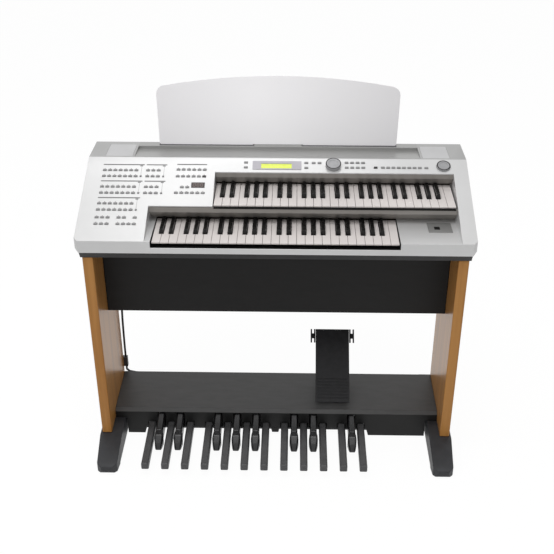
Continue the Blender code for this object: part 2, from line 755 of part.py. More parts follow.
def make_cavity():
    """The room inside the top shell, less the walls round its recesses."""
    outline = shrunk(console_profile(), WALL)
    outline[0] = (outline[0][0], SHELL_BOTTOM - 0.02)
    outline[1] = (outline[1][0], SHELL_BOTTOM - 0.02)
    cavity = guide("cavity", extrusion(outline, "X", -CONSOLE_HALF + WALL, CONSOLE_HALF - WALL))
    plan = extrusion(shrunk(console_plan(), WALL), "Z", CUT_BOTTOM, CUT_TOP)
    combine(cavity, guide("cavity_plan", plan), "INTERSECT")
    front = console_front(WALL)
    front[0] = (front[0][0], SHELL_BOTTOM - 0.02)
    front[1] = (front[1][0], SHELL_BOTTOM - 0.02)
    ends = extrusion(front, "Y", -FRONT_REACH - PAST, DECK_BACK + PAST)
    combine(cavity, guide("cavity_front", ends), "INTERSECT")
    combine(cavity, guide("shelf_slab", shelf_slab()), "DIFFERENCE")
    low = (-FRONT_REACH - 0.01, FALLBOARD_FOOT + 0.006)
    low_z = (shelf_z(FALLBOARD_FOOT) - WALL, CUT_TOP)
    high = (STEP_BACK + FALLBOARD_WALL + 2 * CLEARANCE, UPPER_RECESS_BACK + 0.03)
    high_z = (UPPER_TOP - LIP_DROP + 0.002, CUT_TOP)
    left_x = (RECESS_LEFT - WALL, RECESS_LEFT)
    middle_x = (UPPER_LEFT - KEY_SIDE_GAP - WALL, UPPER_LEFT - KEY_SIDE_GAP)
    right_x = (RECESS_RIGHT, RECESS_RIGHT + WALL)
    walls = blocks([(left_x, low, low_z), (middle_x, high, high_z), (right_x, low, low_z)])
    combine(cavity, guide("recess_walls", walls), "DIFFERENCE")
    cheek = block(right_x, (FALLBOARD_FOOT, high[1]), high_z)
    combine(cavity, guide("cheek_wall", cheek), "DIFFERENCE")
    trough = extrusion(trough_outline(WALL), "X", -TROUGH_HALF - WALL, TROUGH_HALF + WALL)
    combine(cavity, guide("trough_walls", trough), "DIFFERENCE")
    return cavity


def make_top_shell(groups):
    """The silver moulding: front rail, cheeks, shelf, sloped panel and deck."""
    shell = solid("top_shell", extrusion(console_profile(), "X", -CONSOLE_HALF, CONSOLE_HALF), "silver")
    plan = extrusion(console_plan(), "Z", CUT_BOTTOM, CUT_TOP)
    combine(shell, guide("shell_plan", plan), "INTERSECT")
    ends = extrusion(console_front(0), "Y", -FRONT_REACH - PAST, DECK_BACK + PAST)
    combine(shell, guide("shell_front", ends), "INTERSECT")
    combine(shell, make_cavity(), "DIFFERENCE")
    combine(shell, guide("lower_recess", lower_recess()), "DIFFERENCE")
    lower_xs = (-MANUAL_HALF - KEY_SIDE_GAP, MANUAL_HALF + KEY_SIDE_GAP)
    upper_xs = (UPPER_LEFT - KEY_SIDE_GAP, RECESS_RIGHT)
    rail_back = -FRONT_REACH + RAIL_WALL
    wells = {
        "lower_well": (lower_xs, (rail_back, FALLBOARD_FOOT + 0.008), (CUT_BOTTOM, KEY_TOP + 0.02)),
        "rail_notch": (lower_xs, (-FRONT_REACH - 0.01, rail_back + 0.001), (KEY_TOP + RAIL_TOP, UPPER_TOP)),
        "upper_well": (upper_xs, (STEP_BACK - 0.001, UPPER_RECESS_BACK), (UPPER_TOP - 0.04, CUT_TOP)),
    }
    for name, ranges in wells.items():
        combine(shell, guide(name, block(*ranges)), "DIFFERENCE")
    trough = extrusion(trough_outline(0), "X", -TROUGH_HALF, TROUGH_HALF)
    combine(shell, guide("deck_trough", trough), "DIFFERENCE")
    rear_half = CONSOLE_HALF - REAR_MARGIN
    rear_ys = (DECK_BACK - 2 * WALL, DECK_BACK + PAST)
    rear = block((-rear_half, rear_half), rear_ys, (CUT_BOTTOM, DECK_BACK_Z - REAR_FLANGE))
    combine(shell, guide("rear_opening", rear), "DIFFERENCE")
    holes = []
    for places in groups.values():
        holes += cap_ranges(places, CLEARANCE, -0.01, 0.01)
    holes.append(window_range(GLASS_PLACE, GLASS_SIZE, GLASS_LAP + CLEARANCE, -0.01, 0.01))
    holes.append(window_range(METER_PLACE, METER_SIZE, CLEARANCE, -0.01, 0.01))
    origin = (0, CREASE[0], CREASE[1])
    combine(shell, guide("panel_holes", blocks(holes), origin, PANEL_SLOPE), "DIFFERENCE")
    holes = (("dial_hole", DIAL_PLACE, DIAL_SHAFT), ("knob_hole", KNOB_PLACE, KNOB_RADIUS))
    for name, place, radius in holes:
        hole = disc(radius + RUNNING_GAP, -0.01, 0.01, place)
        combine(shell, guide(name, hole, origin, PANEL_SLOPE), "DIFFERENCE")
    combine(shell, guide("deck_holes", blocks(deck_hole_ranges())), "DIFFERENCE")
    return shell


def window_range(place, size, grow, low, high):
    xs = (place[0] - size[0] / 2 - grow, place[0] + size[0] / 2 + grow)
    slopes = (place[1] - size[1] / 2 - grow, place[1] + size[1] / 2 + grow)
    return xs, slopes, (low, high)


def holder_ranges(grow):
    """Plan ranges of the two rails that hold the music rest."""
    ys = (REST_LINE - HOLDER_DEPTH / 2 - grow, REST_LINE + HOLDER_DEPTH / 2 + grow)
    left = (-HOLDER_OUTER - grow, -HOLDER_INNER + grow)
    right = (HOLDER_INNER - grow, HOLDER_OUTER + grow)
    return (left, ys), (right, ys)


def deck_plate_ranges(grow):
    ys = (DECK_PLATE_FRONT - grow, DECK_PLATE_BACK + grow)
    left = (-DECK_PLATE_OUTER - grow, -DECK_PLATE_INNER + grow)
    right = (DECK_PLATE_INNER - grow, DECK_PLATE_OUTER + grow)
    return (left, ys), (right, ys)


def deck_hole_ranges():
    """Holes in the deck: two for the music rest's rails and two under the flush plates."""
    ranges = []
    for xs, ys in holder_ranges(CLEARANCE):
        ranges.append((xs, ys, (DECK_BACK_Z - 0.03, DECK_FRONT_Z + 0.01)))
    for xs, ys in deck_plate_ranges(CLEARANCE):
        ranges.append((xs, ys, (DECK_BACK_Z - 0.03, DECK_FRONT_Z + 0.01)))
    xs = (SLOT_PLATE_X[0] - CLEARANCE, SLOT_PLATE_X[1] + CLEARANCE)
    ys = (SLOT_PLATE_Y[0] - CLEARANCE, SLOT_PLATE_Y[1] + CLEARANCE)
    ranges.append((xs, ys, (KEY_TOP - 0.01, KEY_TOP + 0.02)))
    return ranges


def make_chassis():
    """The dark tray that closes the console below, with the back wall standing on it."""
    half = CONSOLE_HALF - CORNER_CHAMFER - 0.0005
    back = DECK_BACK - WALL
    top = SHELL_BOTTOM - CLEARANCE
    outline = [
        (0.0, CHASSIS_BOTTOM),
        (back, CHASSIS_BOTTOM),
        (back, top),
        (-FRONT_REACH + WALL, top),
    ]
    item = solid("bottom_chassis", extrusion(outline, "X", -half, half), "chassis")
    inner = shrunk(outline, CHASSIS_FLOOR)
    inner[2] = (inner[2][0], top + 0.01)
    inner[3] = (inner[3][0], top + 0.01)
    hollow = extrusion(inner, "X", -half + CHASSIS_FLOOR, half - CHASSIS_FLOOR)
    combine(item, guide("chassis_hollow", hollow), "DIFFERENCE")
    rear_half = CONSOLE_HALF - REAR_MARGIN - CLEARANCE
    rear_top = DECK_BACK_Z - REAR_FLANGE - CLEARANCE
    rear = block((-rear_half, rear_half), (back - CHASSIS_FLOOR, back), (CHASSIS_FLOOR_TOP - 0.001, rear_top))
    combine(item, guide("chassis_rear", rear), "UNION")
    gland = disc(GLAND_RADIUS, CHASSIS_BOTTOM - GLAND_TALL, CHASSIS_BOTTOM + 0.001, CABLE_START, 12)
    combine(item, guide("chassis_gland", gland), "UNION")
    x, z = INLET_PLACE[0], CHASSIS_BOTTOM + INLET_PLACE[1]
    xs = (x - INLET_SIZE[0] / 2, x + INLET_SIZE[0] / 2)
    zs = (z - INLET_SIZE[1] / 2, z + INLET_SIZE[1] / 2)
    pocket = block(xs, (back - INLET_DEPTH, back + 0.01), zs)
    combine(item, guide("inlet_pocket", pocket), "DIFFERENCE")
    prongs = []
    prong_ys = (back - INLET_DEPTH - 0.0005, back - 0.0005)
    for offset, lift in ((-0.007, -0.002), (0, 0.003), (0.007, -0.002)):
        prong_x = (x + offset - 0.001, x + offset + 0.001)
        prongs.append((prong_x, prong_ys, (z + lift - 0.002, z + lift + 0.002)))
    combine(item, guide("inlet_prongs", blocks(prongs)), "UNION")
    return item


def make_display():
    """The framed display with its lit glass, and the small dark display."""
    origin = (0, CREASE[0], CREASE[1])
    frame = block(*window_range(BEZEL_PLACE, BEZEL_SIZE, 0, CLEARANCE, BEZEL_STAND))
    bezel = solid("display_bezel", frame, "bezel", origin, PANEL_SLOPE)
    window = block(*window_range(GLASS_PLACE, GLASS_SIZE, 0, -0.002, 0.005))
    combine(bezel, guide("bezel_window", window, origin, PANEL_SLOPE), "DIFFERENCE")
    glass = block(*window_range(GLASS_PLACE, GLASS_SIZE, GLASS_LAP, -WALL, 0))
    solid("display_glass", glass, "screen", origin, PANEL_SLOPE)
    meter = block(*window_range(METER_PLACE, METER_SIZE, 0, -WALL, METER_STAND))
    solid("tempo_display", meter, "meter_dark", origin, PANEL_SLOPE)


def panel_place(place):
    """The point of the panel's face at an X and a distance up the slope."""
    x, slope = place
    return x, CREASE[0] + slope * math.cos(PANEL_SLOPE), CREASE[1] + slope * math.sin(PANEL_SLOPE)


def make_knobs():
    """The data dial on its shaft, and the flat volume knob sunk in the panel."""
    dial = [
        (0, -STRIP_DROP + 0.001),
        (DIAL_SHAFT, -STRIP_DROP + 0.001),
        (DIAL_SHAFT, DIAL_LIFT),
        (DIAL_RADIUS - 0.001, DIAL_LIFT),
        (DIAL_RADIUS, DIAL_LIFT + 0.001),
        (DIAL_RADIUS, DIAL_HEIGHT - 0.003),
        (DIAL_RADIUS - 0.003, DIAL_HEIGHT),
        (DIAL_RADIUS - 0.008, DIAL_HEIGHT),
        (DIAL_RADIUS - 0.010, DIAL_HEIGHT - 0.0015),
        (0, DIAL_HEIGHT - 0.0015),
    ]
    knob = [
        (0, -KNOB_HEIGHT),
        (KNOB_RADIUS, -KNOB_HEIGHT),
        (KNOB_RADIUS, KNOB_HEIGHT - 0.002),
        (KNOB_RADIUS - 0.002, KNOB_HEIGHT),
        (KNOB_RADIUS - 0.007, KNOB_HEIGHT),
        (KNOB_RADIUS - 0.008, KNOB_HEIGHT - 0.0015),
        (0, KNOB_HEIGHT - 0.0015),
    ]
    origin = panel_place(DIAL_PLACE)
    solid("data_dial", turned(dial, 24), "dial_grey", origin, PANEL_SLOPE, math.radians(30))
    origin = panel_place(KNOB_PLACE)
    solid("volume_knob", turned(knob, 24), "dial_grey", origin, PANEL_SLOPE, math.radians(30))


def make_deck_plates():
    """The flush plates at the deck's ends and the speaker under each."""
    plates = deck_plate_ranges(0)
    for side, (xs, ys) in zip(("left", "right"), plates):
        outline = [
            (ys[0], deck_z(ys[0]) - DECK_PLATE_WALL),
            (ys[1], deck_z(ys[1]) - DECK_PLATE_WALL),
            (ys[1], deck_z(ys[1])),
            (ys[0], deck_z(ys[0])),
        ]
        solid("deck_plate_" + side, extrusion(outline, "X", xs[0], xs[1]), "deck_silver")
        middle = ((xs[0] + xs[1]) / 2, (ys[0] + ys[1]) / 2)
        lean = -math.atan(DECK_FALL / (DECK_BACK - PANEL_BACK))
        top = deck_z(middle[1]) - DECK_PLATE_WALL - CLEARANCE
        radius = SPEAKER_RADIUS
        profile = [
            (0, -0.036),
            (radius * 0.45, -0.036),
            (radius * 0.45, -0.020),
            (radius * 0.85, -0.004),
            (radius, -0.003),
            (radius, 0),
            (radius * 0.88, 0),
            (radius * 0.35, -0.014),
            (0, -0.012),
        ]
        speaker = turned(profile, 18)
        solid("speaker_" + side, speaker, "speaker_black", (*middle, top), lean, math.radians(30))


def make_main_board():
    """The main circuit board on its standoffs, at the console's left."""
    low = CHASSIS_FLOOR_TOP + CLEARANCE
    left = BOARD_INSET - CONSOLE_HALF
    xs = (left, left + BOARD_SIZE[0])
    ys = (BOARD_FRONT, BOARD_FRONT + BOARD_SIZE[1])
    board = solid("main_board", block(xs, ys, (low + 0.008, low + 0.0096)), "board_green")
    posts = []
    for x in (xs[0] + 0.008, xs[1] - 0.014):
        for y in (ys[0] + 0.008, ys[1] - 0.014):
            posts.append(((x, x + 0.006), (y, y + 0.006), (low, low + 0.009)))
    combine(board, guide("board_posts", blocks(posts)), "UNION")
    chips = []
    for across, along, size in ((0.04, 0.04, 0.028), (0.10, 0.07, 0.020), (0.14, 0.02, 0.014)):
        x = left + across
        y = BOARD_FRONT + along
        chips.append(((x, x + size), (y, y + size), (low + 0.009, low + 0.013)))
    combine(board, guide("board_chips", blocks(chips)), "UNION")


def rest_outline():
    """The music rest seen square on: straight foot, rounded top corners and an arched top."""
    rise = REST_PEAK_HEIGHT - REST_CORNER_HEIGHT
    radius = (REST_TOP_HALF ** 2 + rise ** 2) / (2 * rise)
    corner_x = REST_TOP_HALF - REST_CORNER_RADIUS
    lean = math.asin(corner_x / (radius - REST_CORNER_RADIUS))
    centre = REST_PEAK_HEIGHT - radius
    corner_z = centre + (radius - REST_CORNER_RADIUS) * math.cos(lean)
    right = []
    for step in range(5):
        turn = (math.pi / 2 - lean) * step / 4
        x = corner_x + REST_CORNER_RADIUS * math.cos(turn)
        right.append((x, corner_z + REST_CORNER_RADIUS * math.sin(turn)))
    for step in range(1, 7):
        turn = lean * (1 - step / 6)
        right.append((radius * math.sin(turn), centre + radius * math.cos(turn)))
    left = [(-x, z) for x, z in reversed(right[:-1])]
    foot = (HOLDER_STAND + CLEARANCE + REST_WALL / 2 * math.sin(REST_LEAN)) / math.cos(REST_LEAN)
    tongue = -REST_TONGUE
    inner = HOLDER_INNER + 0.003
    outer = HOLDER_OUTER - 0.003
    bottom = [(-REST_HALF, foot), (-outer, foot), (-outer, tongue), (-inner, tongue), (-inner, foot)]
    bottom += [(inner, foot), (inner, tongue), (outer, tongue), (outer, foot), (REST_HALF, foot)]
    return bottom + right + left


def make_music_rest():
    """The pale panel that stands in the holder's two grooves and lifts out."""
    line = deck_z(REST_LINE)
    shape = extrusion(rest_outline(), "Y", -REST_WALL / 2, REST_WALL / 2)
    solid("music_rest", shape, "translucent", (0, REST_LINE, line), -REST_LEAN)
    low = line - HOLDER_TALL
    under = line - 0.006
    ys = (REST_LINE - HOLDER_DEPTH / 2, REST_LINE + HOLDER_DEPTH / 2)
    bar = block((-HOLDER_OUTER, HOLDER_OUTER), ys, (low, under))
    holder = solid("music_rest_holder", bar, "dark_plastic")
    rails = []
    for xs, ys in holder_ranges(0):
        rails.append((xs, ys, (low + 0.001, line + HOLDER_STAND)))
    combine(holder, guide("holder_rails", blocks(rails)), "UNION")
    reach = REST_WALL / 2 + CLEARANCE
    grooves = []
    for xs, _ in holder_ranges(-0.0015):
        grooves.append((xs, (-reach, reach), (-REST_TONGUE - CLEARANCE, 0.03)))
    groove = guide("holder_grooves", blocks(grooves), (0, REST_LINE, line), -REST_LEAN)
    combine(holder, groove, "DIFFERENCE")


def make_slot_plate():
    """The square plate let into the shelf, with the slot for a memory stick."""
    low, high = SLOT_PLATE_Y
    outline = [
        (low, shelf_z(low) - SLOT_PLATE_WALL),
        (high, shelf_z(high) - SLOT_PLATE_WALL),
        (high, shelf_z(high) + 0.0006),
        (low, shelf_z(low) + 0.0006),
    ]
    plate = solid("slot_plate", extrusion(outline, "X", *SLOT_PLATE_X), "deck_silver")
    middle_x = SLOT_PLACE[0]
    middle_y = SLOT_PLACE[1]
    xs = (middle_x - SLOT_OPENING[0] / 2, middle_x + SLOT_OPENING[0] / 2)
    ys = (middle_y - SLOT_OPENING[1] / 2, middle_y + SLOT_OPENING[1] / 2)
    slot = block(xs, ys, (KEY_TOP - 0.01, KEY_TOP + 0.02))
    combine(plate, guide("stick_slot", slot), "DIFFERENCE")


def make_stand():
    """Two wooden side panels on dark feet, and the kneeboard between them."""
    foot = [
        (-FOOT_FRONT + 0.006, 0),
        (-FOOT_FRONT + 0.006 + FOOT_PAD_LENGTH, 0),
        (-FOOT_FRONT + 0.010 + FOOT_PAD_LENGTH, FOOT_PAD),
        (FOOT_REAR - 0.010 - FOOT_PAD_LENGTH, FOOT_PAD),
        (FOOT_REAR - 0.006 - FOOT_PAD_LENGTH, 0),
        (FOOT_REAR - 0.006, 0),
        (FOOT_REAR, 0.008),
        (FOOT_REAR, FOOT_TIP_HEIGHT),
        (PANEL_DEPTH + 0.008, FOOT_HEIGHT),
        (-0.008, FOOT_HEIGHT),
        (-FOOT_FRONT + 0.012, FOOT_TIP_HEIGHT),
        (-FOOT_FRONT, FOOT_TIP_HEIGHT - 0.008),
        (-FOOT_FRONT, 0.008),
    ]
    for side, sign in (("left", -1), ("right", 1)):
        low, high = sorted((sign * FOOT_INNER, sign * FOOT_OUTER))
        item = solid("foot_" + side, extrusion(foot, "X", low, high), "foot_grey")
        tip = FOOT_TIP_CHAMFER
        plan = [
            (low + tip, -FOOT_FRONT - 0.001),
            (high - tip, -FOOT_FRONT - 0.001),
            (high + 0.001, -FOOT_FRONT + tip),
            (high + 0.001, FOOT_REAR - tip),
            (high - tip, FOOT_REAR + 0.001),
            (low + tip, FOOT_REAR + 0.001),
            (low - 0.001, FOOT_REAR - tip),
            (low - 0.001, -FOOT_FRONT + tip),
        ]
        tips = extrusion(plan, "Z", -PAST, FOOT_HEIGHT + PAST)
        combine(item, guide("foot_plan_" + side, tips), "INTERSECT")
        xs = sorted((sign * (PANEL_OUTER - PANEL_THICKNESS), sign * PANEL_OUTER))
        zs = (FOOT_HEIGHT + CLEARANCE, CHASSIS_BOTTOM - CLEARANCE)
        panel = solid("side_panel_" + side, block(xs, (0, PANEL_DEPTH), zs), "wood")
        soften(panel, 0.002)
    inner = PANEL_OUTER - PANEL_THICKNESS - CLEARANCE
    ys = (KNEEBOARD_FRONT, KNEEBOARD_FRONT + KNEEBOARD_WALL)
    board = block((-inner, inner), ys, (KNEEBOARD_BOTTOM, CHASSIS_BOTTOM - CLEARANCE))
    soften(solid("kneeboard", board, "knee_dark"), 0.001)


def soften(item, width):
    """Breaks an item's sharp edges."""
    bevel = item.modifiers.new("edges", "BEVEL")
    bevel.width = width
    bevel.segments = 1


def pedal_places():
    """Name, X and kind of each pedal from the left, as many as the box has room for."""
    places = []
    for index in range(PEDAL_NATURALS):
        note = index % 7
        octave = index // 7 + 1
        x = PEDAL_FIRST + index * PEDAL_PITCH
        letter = "cdefgab"[note]
        places.append((f"pedal_{letter}{octave}", x, False))
        if note not in (2, 6) and index < PEDAL_NATURALS - 1:
            places.append((f"pedal_{letter}{octave}_sharp", x + PEDAL_PITCH / 2, True))
    return places


def make_pedal(name, x, sharp):
    """One pedal lofted through sections, with the bore for the rod that all of them turn on."""
    rear = PEDAL_AXIS_Y + PEDAL_REAR
    knee = PEDAL_AXIS_Y - 0.030
    half = PEDAL_WIDTH / 2
    if sharp:
        half = SHARP_PEDAL_WIDTH / 2
        cap = SHARP_CAP_WIDTH / 2
        top = SHARP_PEDAL_TOP
        low = PEDAL_BOTTOM + 0.001
        sections = [
            (-SHARP_PEDAL_TIP, cap * 0.6, low, low + 0.003, low + 0.007, cap * 0.43),
            (-SHARP_PEDAL_TIP + 0.008, cap * 0.79, low, top - 0.041, top - 0.032, cap * 0.57),
            (-0.010, cap, low, top - 0.028, top - 0.017, cap * 0.71),
            (SHARP_CAP_BACK - 0.001, cap * 0.9, low, top - 0.023, top - 0.011, cap * 0.64),
            (SHARP_CAP_BACK + 0.001, half, low, top - 0.017, top - 0.0095, half - 0.003),
            (BOX_FRONT - 0.005, half, low, top - 0.008, top - 0.0005, half - 0.003),
            (BOX_FRONT + BOX_WALL + 0.009, half, low, top - 0.007, top, half - 0.003),
            (BOX_FRONT + BOX_WALL + 0.014, half, low, PEDAL_TOP, PEDAL_ARM_TOP, half - 0.003),
        ]
    else:
        sections = [
            (-PEDAL_TIP, half - 0.002, PEDAL_BOTTOM, PEDAL_TOP - 0.009, PEDAL_TOP - 0.005, half - 0.0055),
            (-PEDAL_TIP + 0.003, half, PEDAL_BOTTOM, PEDAL_TOP - 0.006, PEDAL_TOP - 0.0015, half - 0.004),
            (-PEDAL_TIP + 0.011, half, PEDAL_BOTTOM, PEDAL_TOP - 0.005, PEDAL_TOP, half - 0.0035),
            (BOX_FRONT + BOX_WALL + 0.012, half, PEDAL_BOTTOM, PEDAL_TOP - 0.005, PEDAL_TOP, half - 0.0035),
        ]
    for y in (knee, rear):
        sections.append((y, half, PEDAL_ARM_BOTTOM, PEDAL_ARM_TOP - 0.004, PEDAL_ARM_TOP, half - 0.003))
    shape = bmesh.new()
    rings = []
    for y, wide, low, shoulder, high, narrow in sections:
        outline = [(-wide, low), (wide, low), (wide, shoulder), (narrow, high)]
        outline += [(-narrow, high), (-wide, shoulder)]
        ring = [shape.verts.new((a, y - PEDAL_AXIS_Y, b - PEDAL_AXIS_Z)) for a, b in outline]
        rings.append(ring)
    shape.faces.new(rings[0])
    shape.faces.new(list(reversed(rings[-1])))
    for ahead, behind in zip(rings, rings[1:]):
        for here in range(6):
            there = (here + 1) % 6
            shape.faces.new((ahead[here], ahead[there], behind[there], behind[here]))
    origin = (x, PEDAL_AXIS_Y, PEDAL_AXIS_Z)
    slot = "pedal_black" if sharp else "pedal_grey"
    item = solid(name, shape, slot, origin)
    bore = rod_along_x(PEDAL_ROD + RUNNING_GAP, -0.02, 0.02, sides=12)
    combine(item, guide(name + "_bore", bore, origin), "DIFFERENCE")


def make_pedal_box():
    """The dark box that holds the pedals: open below, with a slot in its front for each pedal."""
    outline = [
        (BOX_FRONT, BOX_FLOOR_GAP),
        (BOX_BACK, BOX_FLOOR_GAP),
        (BOX_BACK, BOX_TOP),
        (BOX_FRONT + BOX_BEVEL, BOX_TOP),
        (BOX_FRONT, BOX_TOP - BOX_BEVEL),
    ]
    box = solid("pedal_box", extrusion(outline, "X", -BOX_HALF, BOX_HALF), "box_grey")
    inner = shrunk(outline, BOX_WALL)
    inner[0] = (inner[0][0], -0.01)
    inner[1] = (inner[1][0], -0.01)
    room = extrusion(inner, "X", -BOX_HALF + BOX_WALL, BOX_HALF - BOX_WALL)
    combine(box, guide("box_room", room), "DIFFERENCE")
    shoulder = [
        (BOX_FRONT, FOOT_HEIGHT + CLEARANCE),
        (BOX_BACK, FOOT_HEIGHT + CLEARANCE),
        (BOX_BACK, BOX_TOP),
        (BOX_FRONT + BOX_BEVEL, BOX_TOP),
        (BOX_FRONT, BOX_TOP - BOX_BEVEL),
    ]
    reach = PANEL_OUTER - PANEL_THICKNESS - CLEARANCE
    ends = bmesh.new()
    add_extrusion(ends, shoulder, "X", -reach, -BOX_HALF + 0.001)
    add_extrusion(ends, shoulder, "X", BOX_HALF - 0.001, reach)
    combine(box, guide("box_shoulders", ends), "UNION")
    left = PEDAL_FIRST - PEDAL_PITCH / 2 + 0.012
    right = PEDAL_FIRST + (PEDAL_NATURALS - 0.5) * PEDAL_PITCH - 0.012
    slope = 0.012
    skirt = [(left - slope, -0.01), (right + slope, -0.01), (right, BOX_SKIRT), (left, BOX_SKIRT)]
    opening = extrusion(skirt, "Y", BOX_FRONT - 0.01, BOX_FRONT + BOX_WALL + 0.001)
    combine(box, guide("skirt_opening", opening), "DIFFERENCE")
    slots = []
    for _, x, sharp in pedal_places():
        half = (SHARP_PEDAL_WIDTH if sharp else PEDAL_WIDTH) / 2 + PEDAL_SLOT_GAP
        top = (SHARP_PEDAL_TOP if sharp else PEDAL_TOP) + PEDAL_SLOT_GAP
        ys = (BOX_FRONT - 0.01, BOX_FRONT + BOX_WALL + 0.002)
        slots.append(((x - half, x + half), ys, (BOX_SKIRT - 0.02, top)))
    combine(box, guide("pedal_slots", blocks(slots)), "DIFFERENCE")
    middle = PEDAL_FIRST + 6.5 * PEDAL_PITCH
    top = BOX_SKIRT + 0.003
    tab = [
        (middle - TAB_BOTTOM_HALF, TAB_BOTTOM),
        (middle + TAB_BOTTOM_HALF, TAB_BOTTOM),
        (middle + TAB_TOP_HALF, top),
        (middle - TAB_TOP_HALF, top),
    ]
    catch = extrusion(tab, "Y", BOX_FRONT + 0.0005, BOX_FRONT + BOX_WALL - 0.0005)
    combine(box, guide("box_tab", catch), "UNION")
    x, z = CABLE_END
    outline = []
    for step in range(12):
        turn = 2 * math.pi * (step + 0.5) / 12
        outline.append((x + GLAND_RADIUS * math.cos(turn), z + GLAND_RADIUS * math.sin(turn)))
    gland = extrusion(outline, "Y", BOX_BACK - 0.001, BOX_BACK + GLAND_TALL)
    combine(box, guide("box_gland", gland), "UNION")


def make_pedal_frame():
    """The steel frame inside the box: rear rail, rod with its lugs, and the rail pedals stop on."""
    left = PEDAL_FIRST - PEDAL_PITCH / 2
    right = PEDAL_FIRST + (PEDAL_NATURALS - 0.5) * PEDAL_PITCH
    back = BOX_BACK - BOX_WALL - CLEARANCE
    rail = (back - 0.004, back)
    rear = block((left - 0.004, right + 0.004), rail, (0.012, PEDAL_AXIS_Z + 0.014))
    frame = solid("pedal_frame", rear, "steel")
    stop = BOX_FRONT + BOX_WALL + 0.008
    fork = [
        (left - 0.004, stop),
        (right + 0.004, stop),
        (right + 0.004, back - 0.002),
        (right, back - 0.002),
        (right, stop + 0.008),
        (left, stop + 0.008),
        (left, back - 0.002),
        (left - 0.004, back - 0.002),
    ]
    combine(frame, guide("stop_rail", extrusion(fork, "Z", 0.013, 0.020)), "UNION")
    lugs = []
    between = [index for index in range(PEDAL_NATURALS - 1) if index % 7 in (2, 6)]
    for index in [-1] + between + [PEDAL_NATURALS - 1]:
        x = PEDAL_FIRST + (index + 0.5) * PEDAL_PITCH
        ys = (PEDAL_AXIS_Y - 0.008, back - 0.002)
        lugs.append(((x - 0.002, x + 0.002), ys, (PEDAL_AXIS_Z - 0.008, PEDAL_AXIS_Z + 0.008)))
    combine(frame, guide("rod_lugs", blocks(lugs)), "UNION")
    rod = rod_along_x(PEDAL_ROD, left - 0.003, right + 0.003, (PEDAL_AXIS_Y, PEDAL_AXIS_Z), 12)
    combine(frame, guide("pedal_rod", rod), "UNION")


def make_expression_pedal():
    """The tilting foot plate, the bracket that carries its pin, and the two side switches."""
    half = SWELL_WIDTH / 2
    reach = SWELL_LENGTH / 2
    origin = (SWELL_X, SWELL_AXIS_Y, SWELL_AXIS_Z)
    under = SWELL_RISE - SWELL_WALL
    plate = block((-half, half), (-reach, reach), (under, SWELL_RISE))
    item = solid("expression_pedal", plate, "swell_grey", origin, SWELL_ANGLE)
    flange = [
        (-reach + 0.001, under + 0.001),
        (-reach + 0.001, under - 0.002),
        (-0.030, SWELL_RISE - SWELL_FLANGE),
        (0.030, SWELL_RISE - SWELL_FLANGE),
        (reach - 0.001, under - 0.004),
        (reach - 0.001, under + 0.001),
    ]
    sides = bmesh.new()
    for sign in (-1, 1):
        low, high = sorted((sign * (half - SWELL_FLANGE_WALL), sign * (half - 0.0005)))
        add_extrusion(sides, flange, "X", low, high)
    combine(item, guide("swell_flanges", sides, origin, SWELL_ANGLE), "UNION")
    grooves = []
    for step in range(SWELL_GROOVES):
        y = -reach + 0.012 + step * GROOVE_PITCH
        grooves.append(((-half + 0.006, half - 0.006), (y, y + 0.004), (SWELL_RISE - 0.0018, 0.03)))
    combine(item, guide("swell_grooves", blocks(grooves), origin, SWELL_ANGLE), "DIFFERENCE")
    bore = rod_along_x(SWELL_PIN + RUNNING_GAP, -half - 0.01, half + 0.01)
    combine(item, guide("swell_bore", bore, origin, SWELL_ANGLE), "DIFFERENCE")
    top = BOX_TOP + CLEARANCE
    sole_xs = (SWELL_X - SWELL_BASE_HALF, SWELL_X + SWELL_BASE_HALF)
    sole_ys = (SWELL_AXIS_Y - SWELL_BASE_FRONT, SWELL_AXIS_Y + SWELL_BASE_BACK)
    sole = block(sole_xs, sole_ys, (top, top + SWELL_BASE_WALL))
    base = solid("expression_pedal_base", sole, "swell_grey")
    cheek = [
        (SWELL_AXIS_Y - SWELL_BASE_FRONT + 0.008, top + SWELL_BASE_WALL - 0.001),
        (SWELL_AXIS_Y + SWELL_BASE_BACK - 0.004, top + SWELL_BASE_WALL - 0.001),
        (SWELL_AXIS_Y + 0.008, SWELL_AXIS_Z + 0.002),
        (SWELL_AXIS_Y + 0.003, SWELL_AXIS_Z + 0.0065),
        (SWELL_AXIS_Y - 0.003, SWELL_AXIS_Z + 0.0065),
        (SWELL_AXIS_Y - 0.008, SWELL_AXIS_Z + 0.002),
    ]
    cheeks = bmesh.new()
    for sign in (-1, 1):
        outer = SWELL_BASE_HALF - 0.001
        low, high = sorted((SWELL_X + sign * (outer - SWELL_CHEEK), SWELL_X + sign * outer))
        add_extrusion(cheeks, cheek, "X", low, high)
    combine(base, guide("swell_cheeks", cheeks), "UNION")
    pin = rod_along_x(SWELL_PIN, SWELL_X - half + 0.001, SWELL_X + half - 0.001, (SWELL_AXIS_Y, SWELL_AXIS_Z))
    combine(base, guide("swell_pin", pin), "UNION")
    for side, sign in (("left", -1), ("right", 1)):
        make_foot_switch(side, sign, half, reach)


